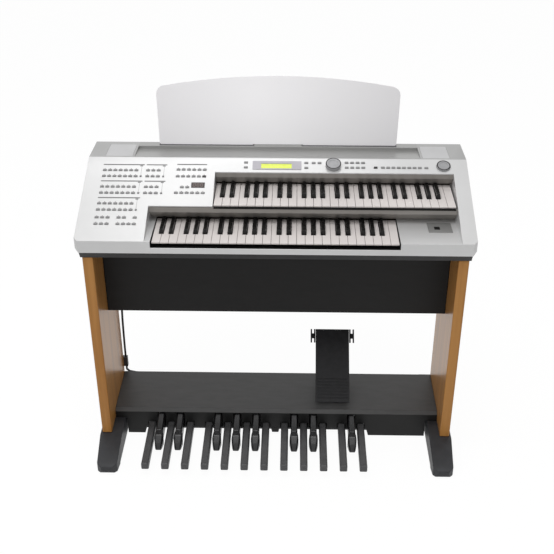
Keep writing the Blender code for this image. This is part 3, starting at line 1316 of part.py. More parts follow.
def make_foot_switch(side, sign, half, reach):
    """An H-shaped paddle that rocks on an axis along the foot plate's edge."""
    bar = SWITCH_WIDTH * 0.3
    long = SWITCH_LENGTH / 2
    short = SWITCH_LENGTH * 0.18
    outline = [
        (0, -long),
        (bar, -long),
        (bar, -short),
        (SWITCH_WIDTH - bar, -short),
        (SWITCH_WIDTH - bar, -long),
        (SWITCH_WIDTH, -long),
        (SWITCH_WIDTH, long),
        (SWITCH_WIDTH - bar, long),
        (SWITCH_WIDTH - bar, short),
        (bar, short),
        (bar, long),
        (0, long),
    ]
    outline = [(sign * (x - SWITCH_PIVOT), y) for x, y in outline]
    lift = SWELL_RISE - SWELL_WALL / 2
    along = reach - long
    turn = Matrix.Rotation(SWELL_ANGLE, 3, "X")
    place = turn @ Vector((sign * (half + SWITCH_GAP + SWITCH_PIVOT), along, lift))
    origin = (SWELL_X + place.x, SWELL_AXIS_Y + place.y, SWELL_AXIS_Z + place.z)
    shape = extrusion(outline, "Z", -SWITCH_WALL / 2, SWITCH_WALL / 2)
    solid("foot_switch_" + side, shape, "swell_grey", origin, SWELL_ANGLE)


def smooth_route(points, step):
    """Points at about one spacing along a smooth curve through the given ones."""
    knots = [Vector(point) for point in points]
    knots = [knots[0] * 2 - knots[1]] + knots + [knots[-1] * 2 - knots[-2]]
    route = [knots[1]]
    for before, start, end, after in zip(knots, knots[1:], knots[2:], knots[3:]):
        pieces = max(1, round((end - start).length / step))
        for piece in range(1, pieces + 1):
            t = piece / pieces
            bend = 0.5 * (
                start * 2
                + (end - before) * t
                + (before * 2 - start * 5 + end * 4 - after) * t ** 2
                + (start * 3 - before - end * 3 + after) * t ** 3
            )
            route.append(bend)
    return route


def cable_route():
    """Points that the lead passes: down behind the left side panel, through its clip, to the pedal box."""
    start_x, start_y = CABLE_START
    clip_x, clip_y = CLIP_PLACE
    end_x, end_z = CABLE_END
    top = CHASSIS_BOTTOM - GLAND_TALL - CLEARANCE
    clip_top = CLIP_BOTTOM + CLIP_TALL
    end_y = BOX_BACK + GLAND_TALL + CLEARANCE
    return (
        (start_x, start_y, top),
        (start_x, start_y, top - 0.020),
        (start_x - 0.002, start_y - 0.004, 0.560),
        (start_x - 0.005, start_y - 0.009, 0.440),
        (clip_x + 0.001, clip_y + 0.001, 0.300),
        (clip_x, clip_y, clip_top + 0.048),
        (clip_x, clip_y, clip_top + 0.004),
        (clip_x, clip_y, CLIP_BOTTOM - 0.003),
        (clip_x, clip_y, CLIP_BOTTOM - 0.015),
        (clip_x + 0.008, BOX_BACK + 0.017, 0.088),
        (clip_x + 0.024, BOX_BACK + 0.024, 0.079),
        (end_x - 0.011, BOX_BACK + 0.027, 0.068),
        (end_x - 0.002, BOX_BACK + 0.024, end_z + 0.003),
        (end_x, end_y + 0.009, end_z),
        (end_x, end_y, end_z),
    )


def make_cable():
    """The lead from the console to the pedals and the clip that holds it to the side panel."""
    route = smooth_route(cable_route(), CABLE_STEP)
    curve = bpy.data.curves.new("pedal_cable", "CURVE")
    curve.dimensions = "3D"
    curve.bevel_depth = CABLE_RADIUS
    curve.bevel_resolution = 2
    curve.use_fill_caps = True
    spline = curve.splines.new("POLY")
    spline.points.add(len(route) - 1)
    for spot, place in zip(spline.points, route):
        spot.co = (*place, 1)
    curve.materials.append(finish("cable_black"))
    item = bpy.data.objects.new("pedal_cable", curve)
    bpy.context.scene.collection.objects.link(item)
    carry(item)
    x, y = CLIP_PLACE
    reach = CABLE_RADIUS + CLEARANCE + CLIP_WALL
    zs = (CLIP_BOTTOM, CLIP_BOTTOM + CLIP_TALL)
    clip = block((x - reach - CLIP_EAR, x + reach), (PANEL_DEPTH + CLEARANCE, y + reach), zs)
    holder = solid("cable_clip", clip, "dark_plastic")
    bore = disc(CABLE_RADIUS + CLEARANCE, CLIP_BOTTOM - 0.01, CLIP_BOTTOM + CLIP_TALL + 0.01, (x, y), 12)
    combine(holder, guide("clip_bore", bore), "DIFFERENCE")


clear_scene()
ORGAN = bpy.data.objects.new("organ", None)
ORGAN.location = (0, -(FRONT_END + BACK_END) / 2, 0)
bpy.context.scene.collection.objects.link(ORGAN)

GROUPS = button_places()
make_top_shell(GROUPS)
make_chassis()
make_fallboard(
    "lower_fallboard",
    (RECESS_LEFT + CLEARANCE, RECESS_RIGHT - CLEARANCE),
    STEP_BACK + CLEARANCE,
    UPPER_TOP - 0.006,
    UPPER_TOP - LIP_DROP,
    FALLBOARD_FOOT,
    shelf_z(FALLBOARD_FOOT) + CLEARANCE,
)
make_fallboard(
    "upper_fallboard",
    (UPPER_LEFT - KEY_SIDE_GAP + CLEARANCE, RECESS_RIGHT - CLEARANCE),
    UPPER_RECESS_BACK + CLEARANCE,
    panel_z(UPPER_RECESS_BACK) - WALL / math.cos(PANEL_SLOPE) - CLEARANCE,
    UPPER_TOP + 0.029,
    UPPER_SETBACK + FALLBOARD_FOOT,
    UPPER_TOP + 0.002,
)
make_naturals("lower_naturals", -MANUAL_HALF, 0, KEY_TOP)
make_sharps("lower_sharps", -MANUAL_HALF, 0, KEY_TOP)
make_key_frame("lower_key_frame", -MANUAL_HALF, 0, KEY_TOP, CHASSIS_FLOOR_TOP + CLEARANCE)
make_naturals("upper_naturals", UPPER_LEFT, UPPER_SETBACK, UPPER_TOP)
make_sharps("upper_sharps", UPPER_LEFT, UPPER_SETBACK, UPPER_TOP)
make_key_frame("upper_key_frame", UPPER_LEFT, UPPER_SETBACK, UPPER_TOP, CHASSIS_FLOOR_TOP + CLEARANCE)
for group_name, group_places in GROUPS.items():
    make_button_strip(group_name, group_places)
make_display()
make_knobs()
make_deck_plates()
make_main_board()
make_music_rest()
make_slot_plate()
make_stand()
for pedal_name, pedal_x, is_sharp in pedal_places():
    make_pedal(pedal_name, pedal_x, is_sharp)
make_pedal_box()
make_pedal_frame()
make_expression_pedal()
make_cable()
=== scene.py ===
import math

import bpy
from mathutils import Matrix, Vector
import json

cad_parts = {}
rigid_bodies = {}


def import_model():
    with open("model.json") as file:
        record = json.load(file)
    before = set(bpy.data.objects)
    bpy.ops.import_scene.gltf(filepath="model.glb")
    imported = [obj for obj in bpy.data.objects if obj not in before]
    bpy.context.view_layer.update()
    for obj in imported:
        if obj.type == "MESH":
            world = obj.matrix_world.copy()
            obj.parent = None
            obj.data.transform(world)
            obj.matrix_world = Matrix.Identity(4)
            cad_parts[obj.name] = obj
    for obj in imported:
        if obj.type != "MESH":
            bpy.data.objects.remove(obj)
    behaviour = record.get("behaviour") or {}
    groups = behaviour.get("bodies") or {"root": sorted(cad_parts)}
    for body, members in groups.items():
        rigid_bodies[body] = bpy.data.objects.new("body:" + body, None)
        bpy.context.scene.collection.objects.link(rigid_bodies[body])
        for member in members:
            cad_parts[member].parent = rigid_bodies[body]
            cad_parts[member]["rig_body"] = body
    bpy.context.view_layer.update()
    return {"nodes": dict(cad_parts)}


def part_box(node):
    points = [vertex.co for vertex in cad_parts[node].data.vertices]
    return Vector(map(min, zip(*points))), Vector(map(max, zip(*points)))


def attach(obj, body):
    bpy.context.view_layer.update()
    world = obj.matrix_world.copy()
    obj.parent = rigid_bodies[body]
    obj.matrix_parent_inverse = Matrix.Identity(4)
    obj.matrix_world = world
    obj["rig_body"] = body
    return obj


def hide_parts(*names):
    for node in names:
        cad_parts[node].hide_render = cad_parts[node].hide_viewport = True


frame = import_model()

# Camera: it stands 2.5 m in front of the organ's middle, a little to the right and 2 m above the
# floor, and looks down at 31 degrees through a long lens.
CAMERA_PLACE = (0.050, -2.5295, 2.063)
CAMERA_TILT = math.radians(58.9)
CAMERA_TURN = math.radians(1.09)
lens = bpy.data.cameras.new("studio_camera")
lens.sensor_fit = "HORIZONTAL"
lens.sensor_width = 36
lens.lens = 64
camera = bpy.data.objects.new("studio_camera", lens)
camera.location = CAMERA_PLACE
camera.rotation_euler = (CAMERA_TILT, 0, CAMERA_TURN)
bpy.context.scene.collection.objects.link(camera)
bpy.context.scene.camera = camera
bpy.context.scene.view_settings.view_transform = "Standard"

# Studio: a pale paper floor and a white sky, both at full white only to the camera and in gloss.
# The organ is lit by a large soft lamp overhead, a weak one in front to the left, and a small one
# behind it whose gloss lies on the panel.
world = bpy.data.worlds.new("studio_sky")
bpy.context.scene.world = world
world.use_nodes = True
sky = world.node_tree.nodes["Background"]
sky.inputs["Color"].default_value = (1, 1, 1, 1)


def seen_rays(tree):
    """A socket that is 1 for rays from the camera and for rays that gloss or glass sends on."""
    path = tree.nodes.new("ShaderNodeLightPath")
    gloss = tree.nodes.new("ShaderNodeMath")
    gloss.operation = "MAXIMUM"
    tree.links.new(path.outputs["Is Camera Ray"], gloss.inputs[0])
    tree.links.new(path.outputs["Is Glossy Ray"], gloss.inputs[1])
    glass = tree.nodes.new("ShaderNodeMath")
    glass.operation = "MAXIMUM"
    tree.links.new(gloss.outputs["Value"], glass.inputs[0])
    tree.links.new(path.outputs["Is Transmission Ray"], glass.inputs[1])
    return glass.outputs["Value"]


SKY_FILL = 0.42
SKY_SEEN = 1.0
fill = world.node_tree.nodes.new("ShaderNodeMapRange")
fill.inputs["To Min"].default_value = SKY_FILL
fill.inputs["To Max"].default_value = SKY_SEEN
world.node_tree.links.new(seen_rays(world.node_tree), fill.inputs["Value"])
world.node_tree.links.new(fill.outputs["Result"], sky.inputs["Strength"])

FLOOR_SIZE = 14
FLOOR_DROP = 0.0005
PAPER_GLOW = 1.03
GLOW_SHARE = 0.93
bpy.ops.object.select_all(action="DESELECT")
bpy.ops.mesh.primitive_plane_add(size=FLOOR_SIZE, location=(0, 0, -FLOOR_DROP))
floor = bpy.context.active_object
floor.name = "studio_floor"
paper = bpy.data.materials.new("white_paper")
paper.use_nodes = True
paper_nodes = paper.node_tree.nodes
paper_links = paper.node_tree.links
paper_nodes.remove(paper_nodes["Principled BSDF"])
matt = paper_nodes.new("ShaderNodeBsdfDiffuse")
matt.inputs["Color"].default_value = (0.9, 0.9, 0.9, 1)
glow = paper_nodes.new("ShaderNodeEmission")
glow.inputs["Strength"].default_value = PAPER_GLOW
share = paper_nodes.new("ShaderNodeMath")
share.operation = "MULTIPLY"
share.inputs[1].default_value = GLOW_SHARE
blend = paper_nodes.new("ShaderNodeMixShader")
paper_links.new(seen_rays(paper.node_tree), share.inputs[0])
paper_links.new(share.outputs["Value"], blend.inputs["Fac"])
paper_links.new(matt.outputs["BSDF"], blend.inputs[1])
paper_links.new(glow.outputs["Emission"], blend.inputs[2])
paper_links.new(blend.outputs["Shader"], paper_nodes["Material Output"].inputs["Surface"])
floor.data.materials.append(paper)

# Each lamp: its name, its place, the point it faces, its width, its height and its power in watts.
LAMPS = (
    ("overhead_lamp", (-0.3, -0.7, 3.1), (0.0, 0.0, 0.7), 2.2, 1.6, 35),
    ("front_lamp", (-1.4, -3.4, 2.0), (0.0, 0.0, 0.6), 1.8, 1.8, 9),
    ("panel_lamp", (-0.30, 1.20, 2.85), (-0.1, -0.05, 0.8), 1.4, 0.6, 7),
)
for lamp_name, lamp_place, lamp_aim, lamp_width, lamp_height, lamp_power in LAMPS:
    bulb = bpy.data.lights.new(lamp_name, "AREA")
    bulb.shape = "RECTANGLE"
    bulb.size = lamp_width
    bulb.size_y = lamp_height
    bulb.energy = lamp_power
    lamp = bpy.data.objects.new(lamp_name, bulb)
    lamp.location = lamp_place
    lamp.rotation_euler = (Vector(lamp_aim) - Vector(lamp_place)).to_track_quat("-Z", "Y").to_euler()
    bpy.context.scene.collection.objects.link(lamp)

# Side panels: two 30 mm boards that stand on the feet and carry the console. They have a
# honey-coloured wood veneer with upright grain under satin lacquer, and their edges are eased.
SMOOTH_ANGLE = math.radians(50)
SAME_POINT = 0.00001
SAME_PLANE = math.radians(0.5)


def edit(piece):
    """Opens one piece for editing, with nothing of it selected."""
    bpy.ops.object.select_all(action="DESELECT")
    piece.select_set(True)
    bpy.context.view_layer.objects.active = piece
    bpy.ops.object.mode_set(mode="EDIT")
    bpy.ops.mesh.select_all(action="DESELECT")


def round_edges(piece, width, segments=3, corner=30):
    """Rounds the edges that turn by more than the corner angle, and keeps flat faces flat."""
    bevel = piece.modifiers.new("rounded_edges", "BEVEL")
    bevel.width = width
    bevel.segments = segments
    bevel.limit_method = "ANGLE"
    bevel.angle_limit = math.radians(corner)
    bevel.use_clamp_overlap = False
    even = piece.modifiers.new("even_faces", "WEIGHTED_NORMAL")
    even.keep_sharp = True
    bpy.ops.object.select_all(action="DESELECT")
    piece.select_set(True)
    bpy.context.view_layer.objects.active = piece
    bpy.ops.object.modifier_apply(modifier=bevel.name)
    bpy.ops.object.shade_smooth_by_angle(angle=SMOOTH_ANGLE)
    bpy.ops.object.modifier_apply(modifier=even.name)


def finished(node, name, material, width, segments=3, corner=30):
    """A copy of a node's solid with joined facets and rounded edges, which takes the node's place."""
    source = frame["nodes"][node]
    piece = bpy.data.objects.new(name, source.data.copy())
    bpy.context.scene.collection.objects.link(piece)
    edit(piece)
    bpy.ops.mesh.select_all(action="SELECT")
    bpy.ops.mesh.customdata_custom_splitnormals_clear()
    bpy.ops.mesh.remove_doubles(threshold=SAME_POINT)
    bpy.ops.mesh.dissolve_limited(angle_limit=SAME_PLANE)
    bpy.ops.object.mode_set(mode="OBJECT")
    if width:
        round_edges(piece, width, segments, corner)
    piece.data.materials.clear()
    piece.data.materials.append(material)
    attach(piece, source["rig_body"])
    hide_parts(node)
    return piece


def finish(
    name, dark, light, drift, rough, bump=0.0, grit=900.0, metallic=0.0, stretch=(1, 1, 1), shine=0.5
):
    """A material that drifts between two colours and two roughnesses, under a fine bump."""
    material = bpy.data.materials.new(name)
    material.use_nodes = True
    nodes = material.node_tree.nodes
    links = material.node_tree.links
    shader = nodes["Principled BSDF"]
    shader.inputs["Metallic"].default_value = metallic
    shader.inputs["Specular IOR Level"].default_value = shine
    place = nodes.new("ShaderNodeTexCoord")
    turn = nodes.new("ShaderNodeMapping")
    turn.inputs["Scale"].default_value = stretch
    links.new(place.outputs["Object"], turn.inputs["Vector"])
    cloud = nodes.new("ShaderNodeTexNoise")
    cloud.name = "cloud"
    cloud.inputs["Scale"].default_value = drift
    cloud.inputs["Detail"].default_value = 5
    links.new(turn.outputs["Vector"], cloud.inputs["Vector"])
    tint = nodes.new("ShaderNodeValToRGB")
    tint.name = "tint"
    tint.color_ramp.elements[0].position = 0.3
    tint.color_ramp.elements[0].color = (*dark, 1)
    tint.color_ramp.elements[1].position = 0.7
    tint.color_ramp.elements[1].color = (*light, 1)
    links.new(cloud.outputs["Fac"], tint.inputs["Fac"])
    links.new(tint.outputs["Color"], shader.inputs["Base Color"])
    polish = nodes.new("ShaderNodeMapRange")
    polish.inputs["To Min"].default_value = rough[0]
    polish.inputs["To Max"].default_value = rough[1]
    links.new(cloud.outputs["Fac"], polish.inputs["Value"])
    links.new(polish.outputs["Result"], shader.inputs["Roughness"])
    if bump:
        grain = nodes.new("ShaderNodeTexNoise")
        grain.inputs["Scale"].default_value = grit
        grain.inputs["Detail"].default_value = 2
        links.new(turn.outputs["Vector"], grain.inputs["Vector"])
        relief = nodes.new("ShaderNodeBump")
        relief.inputs["Strength"].default_value = 0.6
        relief.inputs["Distance"].default_value = bump
        links.new(grain.outputs["Fac"], relief.inputs["Height"])
        links.new(relief.outputs["Normal"], shader.inputs["Normal"])
    return material


honey_wood = finish(
    "honey_wood", dark=(0.41, 0.180, 0.043), light=(0.54, 0.262, 0.074), drift=1.6, rough=(0.26, 0.36),
    bump=0.00006, grit=60, stretch=(22, 22, 0.9), shine=0.2,
)
wood_ramp = honey_wood.node_tree.nodes["tint"].color_ramp
pore = wood_ramp.elements.new(0.47)
pore.color = (0.45, 0.205, 0.053, 1)
vein = wood_ramp.elements.new(0.53)
vein.color = (0.50, 0.235, 0.064, 1)
lacquer = honey_wood.node_tree.nodes["Principled BSDF"]
lacquer.inputs["Coat Weight"].default_value = 0.08
lacquer.inputs["Coat Roughness"].default_value = 0.15
for side in ("left", "right"):
    finished("side_panel_" + side, "wooden_side_" + side, honey_wood, width=0.0018)

# Feet: a long metal foot with a grey powder coat under each side panel, on a flat pad at each end.
# Behind the panel each foot slopes down to a low heel, and its front tip narrows a little.
powder_grey = finish(
    "powder_grey", dark=(0.030, 0.031, 0.034), light=(0.041, 0.042, 0.046), drift=30, rough=(0.42, 0.52),
    bump=0.00008, grit=1400, shine=0.3,
)
HEEL_START = 0.115
HEEL_FALL_PER_METRE = 6.5
TOE_START = -0.222
TOE_LENGTH = 0.0595
TOE_PINCH = 0.17
for side in ("left", "right"):
    foot = finished("foot_" + side, "stand_foot_" + side, powder_grey, width=0.0025, segments=4, corner=20)
    foot_low, foot_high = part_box("foot_" + side)
    foot_middle = (foot_low[0] + foot_high[0]) / 2
    for point in foot.data.vertices:
        behind = max(0.0, point.co.y - HEEL_START)
        point.co.z *= 1 - HEEL_FALL_PER_METRE * behind
        ahead = max(0.0, TOE_START - point.co.y) / TOE_LENGTH
        point.co.x = foot_middle + (point.co.x - foot_middle) * (1 - TOE_PINCH * ahead ** 2)

# Kneeboard: a dark laminated board that is fixed between the side panels and closes the stand
# below the console.
dark_laminate = finish(
    "dark_laminate", dark=(0.0075, 0.0072, 0.0072), light=(0.0115, 0.0110, 0.0110), drift=14,
    rough=(0.45, 0.58), bump=0.00005, grit=700, stretch=(1, 1, 3), shine=0.22,
)
finished("kneeboard", "knee_board", dark_laminate, width=0.0012)

# Pedal box: a dark laminated box between the side panels, open below, with a slot in its front for
# each pedal. Its front faces take a darker copy of the laminate as painted shade. Inside it a black
# steel frame holds the pedals' rod over a thin dark board, which is painted shade standing in for
# the shadowed floor inside the box.
box_laminate = finish(
    "box_laminate", dark=(0.044, 0.044, 0.044), light=(0.060, 0.060, 0.060), drift=18, rough=(0.38, 0.5),
    bump=0.00005, grit=800, stretch=(1, 3, 1), shine=0.4,
)
shade_laminate = finish(
    "shade_laminate", dark=(0.010, 0.010, 0.010), light=(0.015, 0.015, 0.015), drift=18, rough=(0.42, 0.55),
    bump=0.00005, grit=800, stretch=(1, 3, 1), shine=0.25,
)
# Faces that look to the front take the darker laminate: painted shade on the box's front.
SHADED_FRONT_FACING = -0.9
case = finished("pedal_box", "pedal_case", box_laminate, width=0.0009)
case.data.materials.append(shade_laminate)
for face in case.data.polygons:
    if face.normal.y < SHADED_FRONT_FACING:
        face.material_index = 1
black_steel = finish(
    "black_steel", dark=(0.012, 0.012, 0.013), light=(0.020, 0.020, 0.021), drift=60, rough=(0.4, 0.5),
    bump=0.00004, grit=500, metallic=0.3,
)
finished("pedal_frame", "pedal_steelwork", black_steel, width=0.0004, segments=2)


def slab(name, centre, size, tilt=0.0):
    """A block at its size and place, as a start for a thin piece."""
    bpy.ops.object.select_all(action="DESELECT")
    bpy.ops.mesh.primitive_cube_add(size=1, location=centre, rotation=(tilt, 0, 0))
    piece = bpy.context.active_object
    piece.name = name
    piece.scale = size
    bpy.ops.object.transform_apply(location=True, rotation=True, scale=True)
    return piece


def dress(piece, material, body):
    """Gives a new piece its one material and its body."""
    piece.data.materials.clear()
    piece.data.materials.append(material)
    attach(piece, body)


# A dark board under the pedal frame: painted shade, a dark sheet where the floor inside the open box lies
# in shadow.
SHADE_BOARD_WALL = 0.003
SHADE_BOARD_FRONT = -0.062
SHADE_BOARD_BACK = 0.104
SHADE_BOARD_MARGIN = 0.010
SHADE_BOARD_GAP = 0.0002
steel_low, steel_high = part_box("pedal_frame")
shade_board_place = (
    (steel_low[0] + steel_high[0]) / 2,
    (SHADE_BOARD_FRONT + SHADE_BOARD_BACK) / 2,
    steel_low[2] - SHADE_BOARD_GAP - SHADE_BOARD_WALL / 2,
)
shade_board_size = (steel_high[0] - steel_low[0] + SHADE_BOARD_MARGIN, SHADE_BOARD_BACK - SHADE_BOARD_FRONT, SHADE_BOARD_WALL)
floor_shade_board = slab("pedal_floor_shade_board", shade_board_place, shade_board_size)
round_edges(floor_shade_board, width=0.0005, segments=2)
dress(floor_shade_board, shade_laminate, "organ_body")

# Pedals: twenty moulded bars that dip on one rod, charcoal for the naturals and black with raised
# humps for the sharps, all with eased edges and a fine grain.
pedal_charcoal = finish(
    "pedal_charcoal", dark=(0.068, 0.068, 0.070), light=(0.090, 0.090, 0.093), drift=40, rough=(0.38, 0.48),
    bump=0.00005, grit=1500, shine=0.4,
)
pedal_black = finish(
    "pedal_black", dark=(0.013, 0.013, 0.014), light=(0.022, 0.022, 0.024), drift=40, rough=(0.24, 0.34),
    bump=0.00003, grit=1500,
)
NATURAL_PEDALS = ("c1", "d1", "e1", "f1", "g1", "a1", "b1", "c2", "d2", "e2", "f2", "g2")
for node in frame["nodes"]:
    note = node.removeprefix("pedal_")
    if note != node and note.endswith("_sharp"):
        finished(node, "short_" + note, pedal_black, width=0.0022, segments=4, corner=18)
    elif note in NATURAL_PEDALS:
        finished(node, "long_" + note, pedal_charcoal, width=0.0014, corner=18)

# Expression pedal: a grooved foot plate of black moulded plastic that tilts on a pin between two
# cheeks, with a rocking foot switch at each side of its toe end.
swell_plastic = finish(
    "swell_plastic", dark=(0.012, 0.012, 0.013), light=(0.020, 0.020, 0.022), drift=60, rough=(0.42, 0.54),
    bump=0.00006, grit=1600, shine=0.2,
)
finished("expression_pedal", "swell_plate", swell_plastic, width=0.0006)
finished("expression_pedal_base", "swell_base", swell_plastic, width=0.0006)
for side in ("left", "right"):
    finished("foot_switch_" + side, "toe_switch_" + side, swell_plastic, width=0.0006)

# Console tray: the folded steel bottom of the console with its rear wall, powder-coated dark grey.
# The mains inlet sits in the rear wall.
tray_grey = finish(
    "tray_grey", dark=(0.030, 0.030, 0.031), light=(0.042, 0.042, 0.044), drift=30, rough=(0.42, 0.52),
    bump=0.00008, grit=1400, shine=0.3,
)
finished("bottom_chassis", "console_tray", tray_grey, width=0.0005)

# Rear screws: ten pan-head screws of dark plated steel with a cross recess, in two rows on the
# tray's rear wall.
screw_steel = finish(
    "screw_steel", dark=(0.10, 0.10, 0.10), light=(0.16, 0.16, 0.16), drift=400, rough=(0.25, 0.35),
    bump=0.00002, grit=3000, metallic=0.9,
)
SCREW_RADIUS = 0.0036
SCREW_TALL = 0.0018
RECESS_LONG = 0.0038
RECESS_WIDE = 0.0009
SCREW_ROWS = (0.712, 0.829)
SCREW_PLACES = (-0.500, -0.250, 0.0, 0.250, 0.500)
bpy.ops.object.select_all(action="DESELECT")
bpy.ops.mesh.primitive_cylinder_add(
    vertices=24, radius=SCREW_RADIUS, depth=SCREW_TALL, location=(0, 0, SCREW_TALL / 2)
)
screw = bpy.context.active_object
bpy.ops.object.transform_apply(location=True, rotation=False, scale=False)
round_edges(screw, width=0.0007)
for length, width in ((RECESS_LONG, RECESS_WIDE), (RECESS_WIDE, RECESS_LONG)):
    blade = slab("recess", (0, 0, SCREW_TALL), (length, width, SCREW_TALL))
    cut = screw.modifiers.new("cross", "BOOLEAN")
    cut.operation = "DIFFERENCE"
    cut.object = blade
    bpy.ops.object.select_all(action="DESELECT")
    screw.select_set(True)
    bpy.context.view_layer.objects.active = screw
    bpy.ops.object.modifier_apply(modifier=cut.name)
    bpy.data.objects.remove(blade)
rear_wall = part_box("bottom_chassis")[1][1]
backwards = Matrix.Rotation(math.radians(-90), 4, "X")
screws = []
for screw_z in SCREW_ROWS:
    for screw_x in SCREW_PLACES:
        head = bpy.data.objects.new("screw", screw.data.copy())
        bpy.context.scene.collection.objects.link(head)
        head.data.transform(Matrix.Translation((screw_x, rear_wall, screw_z)) @ backwards)
        screws.append(head)
bpy.data.objects.remove(screw)


def joined(name, pieces):
    """Many small pieces made one."""
    bpy.ops.object.select_all(action="DESELECT")
    for piece in pieces:
        piece.select_set(True)
    bpy.context.view_layer.objects.active = pieces[0]
    bpy.ops.object.join()
    pieces[0].name = name
    return pieces[0]


dress(joined("rear_screws", screws), screw_steel, "organ_body")

# Keyboards: white keys moulded in slightly warm plastic, satin black sharps, and the black frames
# that they rest in. The keys of one colour dip together.
key_ivory = finish(
    "key_ivory", dark=(0.69, 0.645, 0.625), light=(0.74, 0.695, 0.675), drift=9, rough=(0.22, 0.3)
)
key_ebony = finish(
    "key_ebony", dark=(0.0040, 0.0037, 0.0036), light=(0.0070, 0.0066, 0.0064), drift=60,
    rough=(0.24, 0.32), bump=0.00002, grit=1800, shine=0.2,
)
frame_black = finish(
    "frame_black", dark=(0.012, 0.012, 0.013), light=(0.018, 0.018, 0.019), drift=30, rough=(0.5, 0.65),
    bump=0.00005, grit=1200,
)
for manual in ("lower", "upper"):
    finished(manual + "_naturals", manual + "_white_keys", key_ivory, width=0.0005, segments=2, corner=40)
    finished(manual + "_sharps", manual + "_black_keys", key_ebony, width=0.0007, corner=25)
    finished(manual + "_key_frame", manual + "_key_bed", frame_black, width=0.0004, segments=2)

# Fallboards: folded boards in glossy grey behind each manual's keys, with a dark strip along the
# lower edge, just over the keys.
smoked_gloss = finish(
    "smoked_gloss", dark=(0.28, 0.262, 0.242), light=(0.31, 0.292, 0.272), drift=7, rough=(0.12, 0.18)
)
dark_edge_strip = finish(
    "dark_edge_strip", dark=(0.010, 0.007, 0.006), light=(0.022, 0.015, 0.012), drift=900, rough=(0.85, 0.95),
    bump=0.0003, grit=2500, shine=0.1,
)
STRIP_DEPTH = 0.003
STRIP_TALL = 0.0034
STRIP_LIFT = 0.0006
STRIP_INSET = 0.0022
for manual in ("lower", "upper"):
    finished(manual + "_fallboard", manual + "_fall_strip", smoked_gloss, width=0.0006)
    board_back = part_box(manual + "_fallboard")[1][1]
    keys_low, keys_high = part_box(manual + "_naturals")
    strip_place = (
        (keys_low[0] + keys_high[0]) / 2,
        board_back - STRIP_INSET - STRIP_DEPTH / 2,
        keys_high[2] + STRIP_LIFT + STRIP_TALL / 2,
    )
    edge_strip = slab(manual + "_edge_strip", strip_place, (keys_high[0] - keys_low[0], STRIP_DEPTH, STRIP_TALL))
    round_edges(edge_strip, width=0.0008)
    dress(edge_strip, dark_edge_strip, "organ_body")

# Key slip: a narrow black angle strip that lies on the lower fallboard's top lip and hangs over
# its edge, before the fronts of the upper white keys. Its part on the lip is painted shade, black
# put where the upper keys' fronts shade the lip.
SLIP_WALL = 0.0008
SLIP_TALL = 0.0040
SLIP_GAP = 0.0009
SLIP_REST = 0.0002
lip_low, lip_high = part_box("lower_fallboard")
upper_low, upper_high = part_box("upper_naturals")
slip_middle = (upper_low[0] + upper_high[0]) / 2
slip_long = upper_high[0] - upper_low[0]
slip_front = lip_low[1] - SLIP_REST - SLIP_WALL
slip_back = upper_low[1] - SLIP_GAP
slip_foot = lip_high[2] + SLIP_REST
# The flat top lying on the lip: painted shade under the upper keys' fronts.
slip_shade_top = slab(
    "key_slip",
    (slip_middle, (slip_front + slip_back) / 2, slip_foot + SLIP_WALL / 2),
    (slip_long, slip_back - slip_front, SLIP_WALL),
)
slip_face = slab(
    "slip_face",
    (slip_middle, slip_front + SLIP_WALL / 2, slip_foot + SLIP_WALL / 2 - SLIP_TALL / 2),
    (slip_long, SLIP_WALL, SLIP_TALL),
)
key_slip = joined("key_slip", [slip_shade_top, slip_face])
round_edges(key_slip, width=0.0002, segments=2)
slip_black = finish(
    "slip_black", dark=(0.0040, 0.0037, 0.0036), light=(0.0070, 0.0066, 0.0064), drift=60,
    rough=(0.5, 0.6), bump=0.00002, grit=1800, shine=0.15,
)
dress(key_slip, slip_black, "organ_body")

# Console shell: one large plastic moulding with walls of 3 mm, in fine metallic silver paint. The
# deck is darkened with painted shade, as it faces up away from the light in front, and the trough in
# it, a recess, with more painted shade.
silver_paint = finish(
    "silver_paint", dark=(0.60, 0.60, 0.60), light=(0.65, 0.65, 0.65), drift=5, rough=(0.30, 0.36),
    bump=0.00003, grit=2600, metallic=0.35,
)
DECK_EDGE = 0.1238
TROUGH_EDGE = 0.1305
TROUGH_SIDE = 0.4205
DECK_PAINTED_SHADE = (0.62, 0.62, 0.615, 1)
TROUGH_PAINTED_SHADE = (0.90, 0.90, 0.89, 1)
paint_nodes = silver_paint.node_tree.nodes
paint_links = silver_paint.node_tree.links
paint_place = paint_nodes.new("ShaderNodeTexCoord")
spread = paint_nodes.new("ShaderNodeSeparateXYZ")
paint_links.new(paint_place.outputs["Object"], spread.inputs["Vector"])


def beyond(value, edge, softness=0.0004):
    """A socket that goes from 0 to 1 where a coordinate passes an edge."""
    ramp = paint_nodes.new("ShaderNodeMapRange")
    ramp.inputs["From Min"].default_value = edge - softness
    ramp.inputs["From Max"].default_value = edge + softness
    paint_links.new(value, ramp.inputs["Value"])
    return ramp.outputs["Result"]


def both(first, second):
    """A socket that is the product of two shares."""
    product = paint_nodes.new("ShaderNodeMath")
    product.operation = "MULTIPLY"
    paint_links.new(first, product.inputs[0])
    paint_links.new(second, product.inputs[1])
    return product.outputs["Value"]


def with_painted_shade(colour, share, shade):
    """A colour that is darkened by painted shade where the share is 1."""
    mix = paint_nodes.new("ShaderNodeMix")
    mix.data_type = "RGBA"
    mix.blend_type = "MULTIPLY"
    paint_links.new(share, mix.inputs["Factor"])
    paint_links.new(colour, mix.inputs["A"])
    mix.inputs["B"].default_value = shade
    return mix.outputs["Result"]


